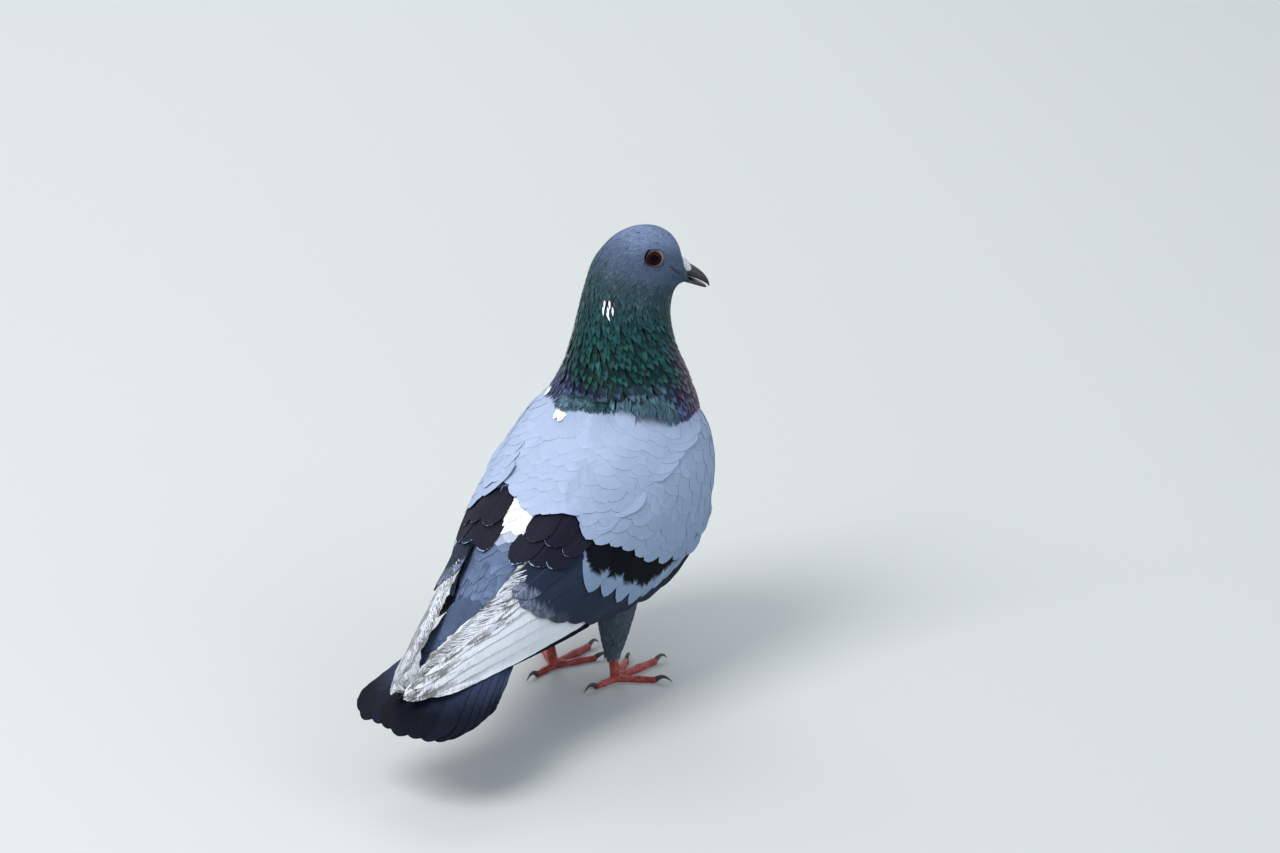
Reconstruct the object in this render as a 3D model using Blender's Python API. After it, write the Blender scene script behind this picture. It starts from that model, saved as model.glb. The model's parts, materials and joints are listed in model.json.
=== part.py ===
"""A feral pigeon at life size, standing still and looking over its right shoulder, as closed solids.

The bird faces +X, its left side is +Y and it stands on Z = 0. Sizes below are in millimetres and in the
bird's own frame, whose origin lies on the floor between the two feet. build() moves the finished pieces
so that the origin is under the middle of their box. The trunk, neck and head are one loft between the
back line and the belly line, parted by thin gaps; wings, tail, legs and toes are set against it.
"""

import math

import bmesh
import bpy
import numpy as np
from mathutils import Matrix, Vector
from mathutils.bvhtree import BVHTree

MM = 0.001
GAP = 0.35  # air between one piece and the next

# Stations of the body: back line x, z; belly line x, z; half width; how far the widest level sits up (+);
# and how far the middle leans to the bird's left.
STATIONS = {
    "tail_root": (-97, 71.5, -90.3, 54.9, 16.5, -0.2, 0.0),
    "rump": (-80, 83, -72, 48, 22.5, -0.1, 0.6),
    "loin": (-58, 95, -50, 42, 29, 0.05, 1.6),
    "hip": (-35, 107, -26, 37, 36, 0.05, 3.0),
    "saddle": (-16, 116, 0, 36, 40, 0.05, 4.0),
    "mantle": (-4, 123, 28, 43, 41, 0.05, 4.4),
    "withers": (1, 128.5, 54, 60, 40, 0.0, 4.0),
    "breast": (4, 133.5, 69, 85, 37, -0.05, 3.0),
    "neck_base": (5.5, 139, 72, 110, 33.5, 0.0, 1.0),
    "neck_low": (8, 147, 66, 133, 28.5, 0.0, 0.0),
    "neck_mid": (11.7, 158, 59.4, 151, 24, 0.0, 0.0),
    "neck_high": (14.6, 170, 57, 164, 20.7, 0.0, 0.0),
    "nape": (17.5, 181, 57.2, 172.4, 18.5, 0.0, 0.0),
    "occiput": (20.8, 191.3, 58.4, 177.3, 16.2, 0.0, 0.0),
    "ear": (25.5, 198.7, 60.0, 179.8, 14.4, 0.0, 0.0),
    "crown_back": (32, 205.0, 61.6, 181.0, 13.2, -0.05, 0.0),
    "crown": (40.5, 208.5, 63.0, 181.4, 12.3, -0.05, 0.0),
    "brow": (49, 208.5, 64.3, 181.5, 11.2, -0.1, 0.0),
    "forehead": (56.2, 204.9, 65.3, 181.5, 9.4, -0.1, 0.0),
    "lore": (61.4, 199.5, 66.0, 181.6, 7.0, -0.05, 0.0),
    "bill_base": (64.8, 192.6, 66.2, 183.2, 3.9, 0.0, 0.0),
}
NAMES = list(STATIONS)
TRUNK_END, NECK_END = "neck_base", "occiput"  # where the trunk and the neck stop

NECK_AXIS_X = 36.0  # the neck stands upright here, and the head turns about it
HEAD_TURN = math.radians(-51)  # to the bird's right

EYE = (48.8, 8.2, 196.6)  # left eye before the turn: x, distance from the midline, z
EYE_RADIUS = 4.7

# Bill stations before the turn: upper line x, z; lower line x, z; half width.
BILL_UPPER = (
    (59.2, 188.7, 58.8, 186.9, 4.3),
    (62.4, 190.5, 61.6, 185.5, 4.5),
    (66.2, 189.1, 65.2, 183.7, 3.7),
    (69.6, 186.8, 68.3, 182.3, 3.0),
    (72.4, 184.1, 71.1, 180.8, 2.3),
    (74.3, 181.1, 73.3, 179.4, 1.5),
    (75.0, 178.4, 74.5, 178.1, 0.4),
)
BILL_LOWER = (
    (59.4, 186.2, 59.6, 184.1, 3.7),
    (62.6, 184.6, 63.0, 181.2, 3.8),
    (65.6, 183.1, 65.7, 180.1, 3.1),
    (68.5, 181.7, 68.4, 179.0, 2.5),
    (71.1, 180.3, 70.8, 178.1, 1.8),
    (73.0, 178.8, 72.9, 177.5, 1.0),
    (73.6, 178.0, 73.6, 177.7, 0.3),
)
CERE = (64.4, 2.0, 188.8)  # centre of one of its two lobes
CERE_RADII = (3.8, 2.5, 2.3)
CERE_SLOPE = math.radians(35)

# Wing stations, from the shoulder to the tip: upper margin x, side, z; lower margin x, side, z; bulge; and
# how far both wings lie to the bird's left.
WING = {
    "front": (46, 21, 124, 64, 27, 107, 2.5, 3.0),
    "shoulder": (40, 24, 128.5, 59.5, 33.5, 102, 8, 3.4),
    "wrist": (30, 22, 131.5, 53, 41, 84, 13.5, 4.4),
    "arm": (13, 19, 128, 31, 46, 66, 15, 4.6),
    "elbow": (-12, 17, 118, 3, 44.5, 55, 15, 4.2),
    "quills": (-40, 15, 106, -31, 39.5, 51, 12.5, 3.2),
    "tertials": (-68, 13, 91, -63, 33.5, 50, 8, 2.0),
    "primaries": (-100, 10, 73.5, -100, 28.5, 52, 4.5, 1.0),
    "narrowing": (-133, 5.8, 60.5, -135, 18.0, 50.5, 1.8, 1.2),
    "tip": (-158.5, 2.6, 49.5, -158.5, 4.2, 47.5, 0.1, 1.8),
}
WING_FOLD = {"right": 0.0, "left": 0.42}  # how much further the quills of this wing are slid together
WING_THICKNESS = 5.0
WING_EDGE = 0.9
QUILL_ROOT = 0.742  # where along the wing the bare quills leave the arm, at its upper margin
QUILL_SLANT = 0.169  # and how much further forward that is at its lower margin

TAIL_LENGTH = 74.0  # from the root of the coverts to the ends of the middle feathers
TAIL_SLOPE = math.radians(22.0)
TAIL_YAW = math.radians(3.2)  # the end swings to the bird's right
TAIL_ROLL = math.radians(5)
TAIL_HALF_WIDTH = (17.0, 27.5)
TAIL_ARCH = 6.5  # how far the outer feathers lie below the middle ones at the root
TAIL_FEATHERS = 12
TAIL_EDGE = 1.0

KNEE = {"right": (5.0, -15.0, 55.0), "left": (3.5, 16.5, 55.0)}
SHIN = {"right": (-3.0, -16.8, 17.0), "left": (-5.0, 16.8, 17.0)}  # where the leg's feathers end
FOOT = {"right": (0.5, -16.0), "left": (-1.5, 16.0)}
FOOT_YAW = {"right": math.radians(-13), "left": math.radians(-6)}
SHANK_RADIUS = 2.3
THIGH_RADII = (12.5, 3.6)
# Toes: heading from the foot's middle line, outwards; length; radius.
TOES = {
    "inner": (-30, 21, 1.8),
    "middle": (0, 27, 2.0),
    "outer": (52, 19, 1.8),
    "hind": (180, 13, 1.7),
}
CLAW_LENGTH, CLAW_RADIUS = 7.0, 1.0

COLOURS = {
    "plumage": ((0.36, 0.40, 0.52), 0.75),
    "neck": ((0.03, 0.10, 0.11), 0.4),
    "head": ((0.16, 0.20, 0.28), 0.75),
    "wing": ((0.38, 0.43, 0.56), 0.7),
    "quills": ((0.62, 0.64, 0.66), 0.65),
    "tail": ((0.04, 0.06, 0.10), 0.7),
    "thigh": ((0.12, 0.15, 0.18), 0.8),
    "leg_skin": ((0.42, 0.06, 0.06), 0.5),
    "claw": ((0.05, 0.04, 0.045), 0.35),
    "bill": ((0.04, 0.045, 0.05), 0.35),
    "cere": ((0.72, 0.70, 0.72), 0.6),
    "eye": ((0.05, 0.012, 0.01), 0.1),
}


def material(name):
    colour, roughness = COLOURS[name]
    made = bpy.data.materials.get(name) or bpy.data.materials.new(name)
    made.use_nodes = True
    shader = made.node_tree.nodes["Principled BSDF"]
    shader.inputs["Base Color"].default_value = (*colour, 1)
    shader.inputs["Roughness"].default_value = roughness
    shader.inputs["Metallic"].default_value = 0.0
    return made


def through(rows, at):
    """Catmull-Rom curve through the rows (numpy, one knot a row) at the knot numbers at."""
    rows = np.asarray(rows, float)
    last = len(rows) - 1
    padded = np.vstack([2 * rows[0] - rows[1], rows, 2 * rows[-1] - rows[-2]])
    at = np.clip(np.asarray(at, float), 0, last)
    knot = np.minimum(at.astype(int), last - 1)
    f = (at - knot)[..., None]
    a, b, c, d = (padded[knot + i] for i in range(4))
    return b + 0.5 * f * (c - a + f * (2 * a - 5 * b + 4 * c - d + f * (3 * (b - c) + d - a)))


def turned(points, angle, axis_x=NECK_AXIS_X):
    """The points turned about an upright axis by an angle each."""
    c, s = np.cos(angle), np.sin(angle)
    x, y = points[..., 0] - axis_x, points[..., 1]
    return np.stack([axis_x + c * x - s * y, s * x + c * y, points[..., 2]], -1)


def smooth(f):
    f = np.clip(f, 0, 1)
    return f * f * (3 - 2 * f)


def rings_through(row, segments, swell=0.0):
    """Ellipses hung between an upper and a lower line: rows of x, z, x, z, half width, lift, lean.

    Going round from the top, the height runs as the cosine and the width as the sine; lift makes the
    ring wider above (+) or below (-) its middle. swell makes every ring that much larger."""
    top = np.stack([row[:, 0], 0 * row[:, 0], row[:, 1]], -1)
    bottom = np.stack([row[:, 2], 0 * row[:, 0], row[:, 3]], -1)
    up = top - bottom
    half = np.linalg.norm(up, axis=1, keepdims=True) / 2
    up = up / (2 * half)
    theta = np.arange(segments) * 2 * math.pi / segments
    points = (top + bottom)[:, None] / 2 + up[:, None] * ((half + swell) * np.cos(theta))[..., None]
    lift = row[:, 5:6] if row.shape[1] > 5 else 0
    lean = row[:, 6:7] if row.shape[1] > 6 else 0
    points[..., 1] += (row[:, 4:5] + swell) * np.sin(theta) * (1 + lift * np.cos(theta)) + lean
    return points


def body_rings(first, last, steps, segments, swell=0.0):
    """Rings of the body between two named stations. The head end turns right, and the rump follows the tail."""
    at = np.linspace(NAMES.index(first), NAMES.index(last), steps)
    rings = rings_through(through(list(STATIONS.values()), at), segments, swell)
    low, high = NAMES.index("neck_base"), NAMES.index("occiput")
    rings = turned(rings, (HEAD_TURN * smooth((at - low) / (high - low)))[:, None])
    return turned(rings, (TAIL_YAW * smooth(1 - at / 3))[:, None], STATIONS["hip"][0])


def pull(rings, index, distance):
    """Moves one end ring along its own normal, into the piece, to leave the gap to the next piece."""
    ring = rings[index]
    normal = np.cross(ring[len(ring) // 4] - ring[0], ring[len(ring) // 2] - ring[0])
    inwards = rings[1 if index == 0 else -2].mean(0) - ring.mean(0)
    normal *= np.sign(normal @ inwards) / np.linalg.norm(normal)
    rings[index] = ring + normal * distance


def from_faces(name, points, faces, colour, helper=False):
    """A mesh object from points in millimetres, with its faces turned outward."""
    mesh = bpy.data.meshes.new(name)
    mesh.from_pydata((points * MM).tolist(), [], faces)
    shape = bmesh.new()
    shape.from_mesh(mesh)
    bmesh.ops.recalc_face_normals(shape, faces=shape.faces)
    if shape.calc_volume(signed=True) < 0:
        bmesh.ops.reverse_faces(shape, faces=shape.faces)
    shape.to_mesh(mesh)
    shape.free()
    made = bpy.data.objects.new(name, mesh)
    made.data.materials.append(material(colour))
    made.hide_render = helper
    bpy.data.collections["cutters" if helper else "pigeon"].objects.link(made)
    if helper:
        made.display_type = "WIRE"
    return made


def closed_loft(name, rings, colour, helper=False):
    """A solid through rings with equal numbers of points; both ends are closed with a fan."""
    count, segments = rings.shape[:2]
    points = np.concatenate([rings.reshape(-1, 3), rings[:1].mean(1), rings[-1:].mean(1)])
    first, end = count * segments, count * segments + 1
    faces = []
    for i in range(segments):
        j = (i + 1) % segments
        for k in range(0, first - segments, segments):
            faces.append((k + i, k + j, k + segments + j, k + segments + i))
        faces += [(first, j, i), (end, first - segments + i, first - segments + j)]
    return from_faces(name, points, faces, colour, helper)


def closed_plate(name, outer, inner, colour):
    """A solid between two grids of the same size, joined round their rim."""
    rows, columns = outer.shape[:2]
    count = rows * columns
    faces = []
    for i in range(rows - 1):
        for j in range(columns - 1):
            a, d = i * columns + j, (i + 1) * columns + j
            faces += [(a, a + 1, d + 1, d), (count + d, count + d + 1, count + a + 1, count + a)]
    rim = list(range(columns))
    rim += [i * columns + columns - 1 for i in range(1, rows)]
    rim += [(rows - 1) * columns + j for j in range(columns - 2, -1, -1)]
    rim += [i * columns for i in range(rows - 2, 0, -1)]
    faces += [(b, a, count + a, count + b) for a, b in zip(rim, rim[1:] + rim[:1])]
    return from_faces(name, np.concatenate([outer.reshape(-1, 3), inner.reshape(-1, 3)]), faces, colour)


def combine(target, tool, operation):
    """Applies an exact Boolean and keeps the result as the target's own mesh."""
    step = target.modifiers.new("step", "BOOLEAN")
    step.operation, step.object, step.solver = operation, tool, "EXACT"
    bpy.context.view_layer.update()
    graph = bpy.context.evaluated_depsgraph_get()
    result = bpy.data.meshes.new_from_object(target.evaluated_get(graph))
    target.modifiers.remove(step)
    target.data = result


def tree_of(rings, piece):
    """The surface of a loft and of a finished piece, to cast rays at, in millimetres."""
    count, segments = rings.shape[:2]
    faces = []
    for k in range(count - 1):
        for i in range(segments):
            a, b = k * segments + i, k * segments + (i + 1) % segments
            faces.append((a, b, b + segments, a + segments))
    points = rings.reshape(-1, 3).tolist()
    faces += [tuple(len(points) + v for v in face.vertices) for face in piece.data.polygons]
    points += [tuple(vertex.co / MM) for vertex in piece.data.vertices]
    return BVHTree.FromPolygons(points, faces)


def ellipsoid(name, centre, radii, slope, yaw, colour, helper=False, steps=9, segments=14):
    """A closed ellipsoid pitched nose down by slope in the head's plane, then turned with the head."""
    polar = np.linspace(0.12, math.pi - 0.12, steps)[:, None]
    around = np.arange(segments)[None, :] * 2 * math.pi / segments
    local = np.stack([np.cos(polar) + 0 * around, np.sin(polar) * np.cos(around), np.sin(polar) * np.sin(around)], -1)
    local = local * np.asarray(radii)
    c, s = math.cos(slope), math.sin(slope)
    x, z = local[..., 0] * c + local[..., 2] * s, local[..., 2] * c - local[..., 0] * s
    points = np.stack([x, local[..., 1], z], -1) + np.asarray(centre)
    return closed_loft(name, turned(points, yaw), colour, helper)


def make_body():
    trunk = body_rings("tail_root", TRUNK_END, 18, 26)
    neck = body_rings(TRUNK_END, NECK_END, 10, 28)
    head = body_rings(NECK_END, "bill_base", 16, 24)
    pull(trunk, 0, GAP / 2)
    pull(trunk, -1, GAP / 2)
    pull(neck, 0, GAP / 2)
    pull(neck, -1, GAP / 2)
    pull(head, 0, GAP / 2)
    closed_loft("trunk", trunk, "plumage")
    closed_loft("neck", neck, "neck")
    return closed_loft("head", head, "head")


def bill_half(name, rows, colour, swell=0.0, helper=False):
    at = np.linspace(0, len(rows) - 1, 10)
    rings = turned(rings_through(through(rows, at), 12, swell), HEAD_TURN)
    return closed_loft(name, rings, colour, helper)


def cere_lobes(name, swell, helper):
    """Two white swellings over the nostrils, joined on the midline."""
    radii = np.array(CERE_RADII) + swell
    both = []
    for sign in (1, -1):
        centre = (CERE[0], sign * CERE[1], CERE[2])
        both.append(ellipsoid(f"{name}_{sign}", centre, radii, CERE_SLOPE, HEAD_TURN, "cere", helper or sign < 0))
    combine(both[0], both[1], "UNION")
    both[0].name = name
    return both[0]


def make_face(head):
    """The bill, the cere and the eyes, each in a hollow of the head a gap larger than itself."""
    cere = cere_lobes("cere", 0, False)
    upper = bill_half("bill_upper", BILL_UPPER, "bill")
    bill_half("bill_lower", BILL_LOWER, "bill")
    room = cere_lobes("cere_room", GAP, True)
    combine(upper, room, "DIFFERENCE")
    for name, rows in (("upper_room", BILL_UPPER), ("lower_room", BILL_LOWER)):
        combine(room, bill_half(name, rows, "bill", GAP, True), "UNION")
    combine(head, room, "DIFFERENCE")
    for side, sign in (("left", 1), ("right", -1)):
        centre = (EYE[0], sign * EYE[1], EYE[2])
        room = ellipsoid(f"eye_room_{side}", centre, [EYE_RADIUS + GAP] * 3, 0, HEAD_TURN, "eye", True)
        combine(head, room, "DIFFERENCE")
        ellipsoid(f"eye_{side}", centre, [EYE_RADIUS] * 3, 0, HEAD_TURN, "eye")
    return cere


def wing_surface(side, along, across):
    """The outer face of a folded wing: straight lines from the upper to the lower margin, bulged out.

    along runs from the shoulder (0) to the tip (1) and across from the upper (0) to the lower margin (1).
    The bulge follows a half sine across, at right angles to the line and to the wing's length."""
    rows, knots = list(WING.values()), len(WING) - 1
    row = through(rows, along * knots)
    ahead = through(rows, along * knots + 0.02) - through(rows, along * knots - 0.02)
    upper, lower, bulge = row[..., 0:3], row[..., 3:6], row[..., 6:7]
    chord = (lower - upper) * (1 - WING_FOLD[side] * smooth(along * 3.375 - 2.17))[..., None]
    out = np.cross(chord, ahead[..., 0:3] + ahead[..., 3:6])
    out /= np.linalg.norm(out, axis=-1, keepdims=True)
    points = upper + chord * across[..., None] + out * bulge * np.sin(math.pi * across[..., None]) ** 0.85
    if side == "right":
        points, out = points * [1, -1, 1], out * [1, -1, 1]
    points[..., 1] += row[..., 7]
    return points, out


def wing_plate(name, side, along, across, thickness, colour, body_tree):
    """One part of a wing as a solid: its inner face lies at the thickness, or stops short of the body."""
    outer, out = wing_surface(side, along, across)
    inner = outer - out * thickness[..., None]
    for index in np.ndindex(along.shape):
        ray = Vector(out[index])
        hit = body_tree.ray_cast(Vector(outer[index]) + ray * 20, -ray, 60)[0]
        if hit is None:
            continue
        room = (Vector(outer[index]) - hit).dot(ray) - 2.6 * GAP
        if room < WING_EDGE:
            outer[index] += out[index] * (WING_EDGE - room)
            inner[index] = outer[index] - out[index] * WING_EDGE
        elif room < thickness[index]:
            inner[index] = outer[index] - out[index] * room
    closed_plate(name, outer, inner, colour)


def make_wing(side, body_tree):
    across = np.linspace(0, 1, 9)[None, :] * np.ones((13, 1))
    edge = QUILL_ROOT - QUILL_SLANT * across**3
    share = np.linspace(0, 1, 13)[:, None]
    rim = np.clip(np.sin(math.pi * across) * 1.6, 0, 1)
    ends = np.clip(share * 8, 0.3, 1) * np.clip((1 - share) * 6, 0.35, 1)
    thick = WING_EDGE + (WING_THICKNESS - WING_EDGE) * rim * ends
    wing_plate(f"wing_{side}", side, share * edge, across, thick, "wing", body_tree)
    start = edge + 0.005
    thin = WING_EDGE + 1.2 * rim * (1 - share)
    wing_plate(f"quills_{side}", side, start + share * (1 - start), across, thin, "quills", body_tree)


def make_tail():
    """A cambered fan with a scalloped end: as thick as the rump at its root and thin at its end."""
    root = body_rings("tail_root", "rump", 2, 28)[0]
    centre = root.mean(0)
    half_height = np.linalg.norm(root[0] - root[14]) / 2
    along = np.linspace(0, 1, 8)[:, None]
    across = np.linspace(-1, 1, 25)[None, :]
    scallop = 1.3 * np.abs(np.sin(math.pi * (across + 1) / 2 * TAIL_FEATHERS))
    reach = TAIL_LENGTH - 7.0 * across**4 - 3.0 * across**2 + scallop
    x = -GAP - along * reach
    y = across * (TAIL_HALF_WIDTH[0] + (TAIL_HALF_WIDTH[1] - TAIL_HALF_WIDTH[0]) * along**0.75)
    round_edge = np.sqrt(1 - across**2 * (1 - 0.15 * along))
    half = TAIL_EDGE / 2 + (half_height - TAIL_EDGE / 2) * (1 - along) ** 2.8 * round_edge
    set_in = smooth(along * 6)
    camber = 1.2 * along - TAIL_ARCH * set_in * (1 - 0.6 * along) * across**2
    frame = Matrix.Rotation(TAIL_YAW, 3, "Z") @ Matrix.Rotation(-TAIL_SLOPE, 3, "Y")
    grids = []
    for z in (camber + half, camber - half):
        roll = TAIL_ROLL * set_in
        grid = np.stack(np.broadcast_arrays(x, y * np.cos(roll) - z * np.sin(roll), y * np.sin(roll) + z * np.cos(roll)), -1)
        grids.append(grid @ np.array(frame).T + centre)
    return closed_plate("tail", grids[0], grids[1], "tail")


def tube(name, path, radii, colour, flat=False, segments=9, helper=False):
    """A round bar along points of the path, with its ends closed; flat keeps it above the floor."""
    path, radii = np.asarray(path, float), np.asarray(radii, float)
    ahead = np.gradient(path, axis=0)
    ahead /= np.linalg.norm(ahead, axis=1, keepdims=True)
    guide = np.array([0, 0, 1.0]) if abs(ahead[:, 2]).max() < 0.8 else np.array([0, 1.0, 0])
    side = np.cross(guide, ahead)
    side /= np.linalg.norm(side, axis=1, keepdims=True)
    up = np.cross(ahead, side)
    theta = (np.arange(segments) + 0.5) * 2 * math.pi / segments
    ring = np.cos(theta)[None, :, None] * side[:, None] + np.sin(theta)[None, :, None] * up[:, None]
    points = path[:, None] + ring * radii[:, None, None]
    if flat:
        points[..., 2] = np.maximum(points[..., 2], 0)
    return closed_loft(name, points, colour, helper)


def make_leg(side):
    sign = 1 if side == "left" else -1
    knee, shin = np.array(KNEE[side]), np.array(SHIN[side])
    foot = np.array([*FOOT[side], SHANK_RADIUS + 0.4])
    share = np.linspace(0, 1, 7)[:, None]
    radii = THIGH_RADII[1] + (THIGH_RADII[0] - THIGH_RADII[1]) * (1 - share[:, 0]) ** 0.8
    radii[-1] *= 0.8
    thigh = tube(f"thigh_{side}", knee + (shin - knee) * share, radii, "thigh", segments=14)
    combine(thigh, bpy.data.objects["trunk_room"], "DIFFERENCE")
    down = (foot - shin) / np.linalg.norm(foot - shin)
    hub_top = foot - down * 3.2
    share = np.linspace(0, 1, 6)[:, None]
    bar = np.array([1.0, 0.94, 0.9, 0.9, 0.95, 1.0]) * SHANK_RADIUS
    top, low = shin + down * 4 * GAP, hub_top - down * GAP
    tube(f"shank_{side}", top + (low - top) * share, bar, "leg_skin")
    feet = tube(f"foot_{side}", [hub_top, foot - down, foot + down * 1.4, foot + down * 2.2],
                [SHANK_RADIUS, SHANK_RADIUS * 1.15, SHANK_RADIUS * 1.05, SHANK_RADIUS * 0.6], "leg_skin", flat=True)
    for toe, (heading, length, radius) in TOES.items():
        angle = FOOT_YAW[side] + sign * math.radians(heading)
        ahead = np.array([math.cos(angle), math.sin(angle), 0])
        share = np.linspace(0, 1, 6)[:, None]
        base = np.array([*FOOT[side], 0])
        path = base + ahead * (share * length) + [0, 0, radius - 0.3]
        swell = 1 + 0.07 * np.sin(share[:, 0] * 2 * 2 * math.pi)
        widths = radius * swell * (1 - 0.12 * share[:, 0])
        widths[-1] *= 0.75
        digit = tube(f"toe_{side}_{toe}", path, widths, "leg_skin", flat=True, helper=True)
        combine(feet, digit, "UNION")
        claw_share = np.linspace(0, 1, 5)
        lift = 0.25 * np.sin(claw_share * math.pi) * CLAW_LENGTH
        start = base + ahead * (length + 2 * GAP)
        claw = start + ahead * (claw_share * CLAW_LENGTH)[:, None]
        claw[:, 2] = radius - 0.2 + lift - 0.75 * claw_share**2
        tube(f"claw_{side}_{toe}", claw, CLAW_RADIUS * (1 - 0.8 * claw_share**1.3), "claw", segments=7)


def settle():
    """Moves every piece so that the origin is under the middle of the box round them."""
    pieces = list(bpy.data.objects)
    shown = [piece for piece in pieces if not piece.hide_render]
    corners = np.concatenate([np.array([v.co for v in piece.data.vertices]) for piece in shown])
    low, high = corners.min(0), corners.max(0)
    shift = Vector((-(low[0] + high[0]) / 2, -(low[1] + high[1]) / 2, -low[2]))
    for piece in pieces:
        piece.data.transform(Matrix.Translation(shift))
        piece.data.shade_smooth()
        piece.data.set_sharp_from_angle(angle=math.radians(40))
    bpy.context.scene["origin_shift"] = shift


def build():
    for old in list(bpy.data.objects):
        bpy.data.objects.remove(old)
    for name in ("pigeon", "cutters"):
        bpy.context.scene.collection.children.link(bpy.data.collections.new(name))
    bpy.data.collections["cutters"].hide_render = True
    head = make_body()
    make_face(head)
    body_tree = tree_of(body_rings("tail_root", NECK_END, 45, 48), make_tail())
    closed_loft("trunk_room", body_rings("tail_root", TRUNK_END, 18, 26, GAP), "plumage", True)
    for side in ("right", "left"):
        make_wing(side, body_tree)
        make_leg(side)
    settle()


build()
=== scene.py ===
"""Looks for the life-size feral pigeon: one skin, feathers laid over it, horn, legs and eyes.

Lengths are in millimetres in the bird's own frame (it faces +X, its left is +Y, the floor is Z = 0 and the
origin lies between its feet) until mesh_of() moves them into the row's frame. A surface is a function of two
parameters; feathers follow paths in those parameters, so they lie on the surface whatever its bend.
"""

import json
import math

import bpy
import numpy as np
from mathutils import Matrix, Vector
from mathutils.kdtree import KDTree

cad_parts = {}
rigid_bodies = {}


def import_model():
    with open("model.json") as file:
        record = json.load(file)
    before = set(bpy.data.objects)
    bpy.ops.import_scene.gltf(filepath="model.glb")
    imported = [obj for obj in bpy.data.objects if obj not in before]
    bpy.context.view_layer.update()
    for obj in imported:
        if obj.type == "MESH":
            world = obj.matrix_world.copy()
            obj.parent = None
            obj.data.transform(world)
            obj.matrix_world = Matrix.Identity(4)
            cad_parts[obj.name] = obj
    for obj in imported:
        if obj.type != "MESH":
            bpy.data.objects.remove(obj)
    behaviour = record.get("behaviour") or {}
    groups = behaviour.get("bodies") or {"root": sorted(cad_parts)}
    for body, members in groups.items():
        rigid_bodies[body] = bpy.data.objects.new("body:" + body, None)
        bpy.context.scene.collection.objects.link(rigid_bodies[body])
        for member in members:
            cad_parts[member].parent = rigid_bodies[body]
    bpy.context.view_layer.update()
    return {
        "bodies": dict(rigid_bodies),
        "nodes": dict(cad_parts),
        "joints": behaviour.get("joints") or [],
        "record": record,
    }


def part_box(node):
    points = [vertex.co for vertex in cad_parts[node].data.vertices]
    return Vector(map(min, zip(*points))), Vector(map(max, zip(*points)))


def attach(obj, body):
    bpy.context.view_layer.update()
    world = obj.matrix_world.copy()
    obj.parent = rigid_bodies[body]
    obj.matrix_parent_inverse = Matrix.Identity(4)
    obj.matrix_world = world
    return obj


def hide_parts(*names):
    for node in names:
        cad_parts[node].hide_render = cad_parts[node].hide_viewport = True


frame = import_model()

MM = 0.001
TURN = 2 * math.pi
rng = np.random.default_rng(41)

# Body stations: back line x, z; belly line x, z; half width; lift of the widest level; lean to the left.
STATIONS = {
    "tail_root": (-97, 71.5, -90.3, 54.9, 16.5, -0.2, 0.0),
    "rump": (-80, 83, -72, 48, 22.5, -0.1, 0.6),
    "loin": (-58, 95, -50, 42, 29, 0.05, 1.6),
    "hip": (-35, 107, -26, 37, 36, 0.05, 3.0),
    "saddle": (-16, 116, 0, 36, 40, 0.05, 4.0),
    "mantle": (-4, 123, 28, 43, 41, 0.05, 4.4),
    "withers": (1, 128.5, 54, 60, 40, 0.0, 4.0),
    "breast": (4, 133.5, 69, 85, 37, -0.05, 3.0),
    "neck_base": (5.5, 139, 72, 110, 33.5, 0.0, 1.0),
    "neck_low": (8, 147, 66, 133, 28.5, 0.0, 0.0),
    "neck_mid": (11.7, 158, 59.4, 151, 24, 0.0, 0.0),
    "neck_high": (14.6, 170, 57, 164, 20.7, 0.0, 0.0),
    "nape": (17.5, 181, 57.2, 172.4, 18.5, 0.0, 0.0),
    "occiput": (20.8, 191.3, 58.4, 177.3, 16.2, 0.0, 0.0),
    "ear": (25.5, 198.7, 60.0, 179.8, 14.4, 0.0, 0.0),
    "crown_back": (32, 205.0, 61.6, 181.0, 13.2, -0.05, 0.0),
    "crown": (40.5, 208.5, 63.0, 181.4, 12.3, -0.05, 0.0),
    "brow": (49, 208.5, 64.3, 181.5, 11.2, -0.1, 0.0),
    "forehead": (56.2, 204.9, 65.3, 181.5, 9.4, -0.1, 0.0),
    "lore": (60.6, 198.6, 65.0, 181.9, 6.0, -0.05, 0.0),
    "bill_base": (62.2, 190.6, 64.6, 183.6, 3.0, 0.0, 0.0),
}
NAMES = list(STATIONS)
BODY_ROWS = np.array(list(STATIONS.values()), float)
BODY_END = len(NAMES) - 1
NECK_AXIS_X = 36.0
HEAD_TURN = math.radians(-51)
EYE = np.array([47.7, 8.35, 197.1])
EYE_RADIUS = 4.7
LID_LEVEL = 3.1  # where the face's feathers meet the lids, over the eyeball's centre
EYE_CLEAR = 4.3  # no feather comes nearer to the eye's axis
CERE_CLEAR = 4.6  # nor nearer to the middle of a lobe of the cere
MOUTH_LEVEL = 185.5
HEAD_FROM = 12.9  # the first station number of the head's short feathers

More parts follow.
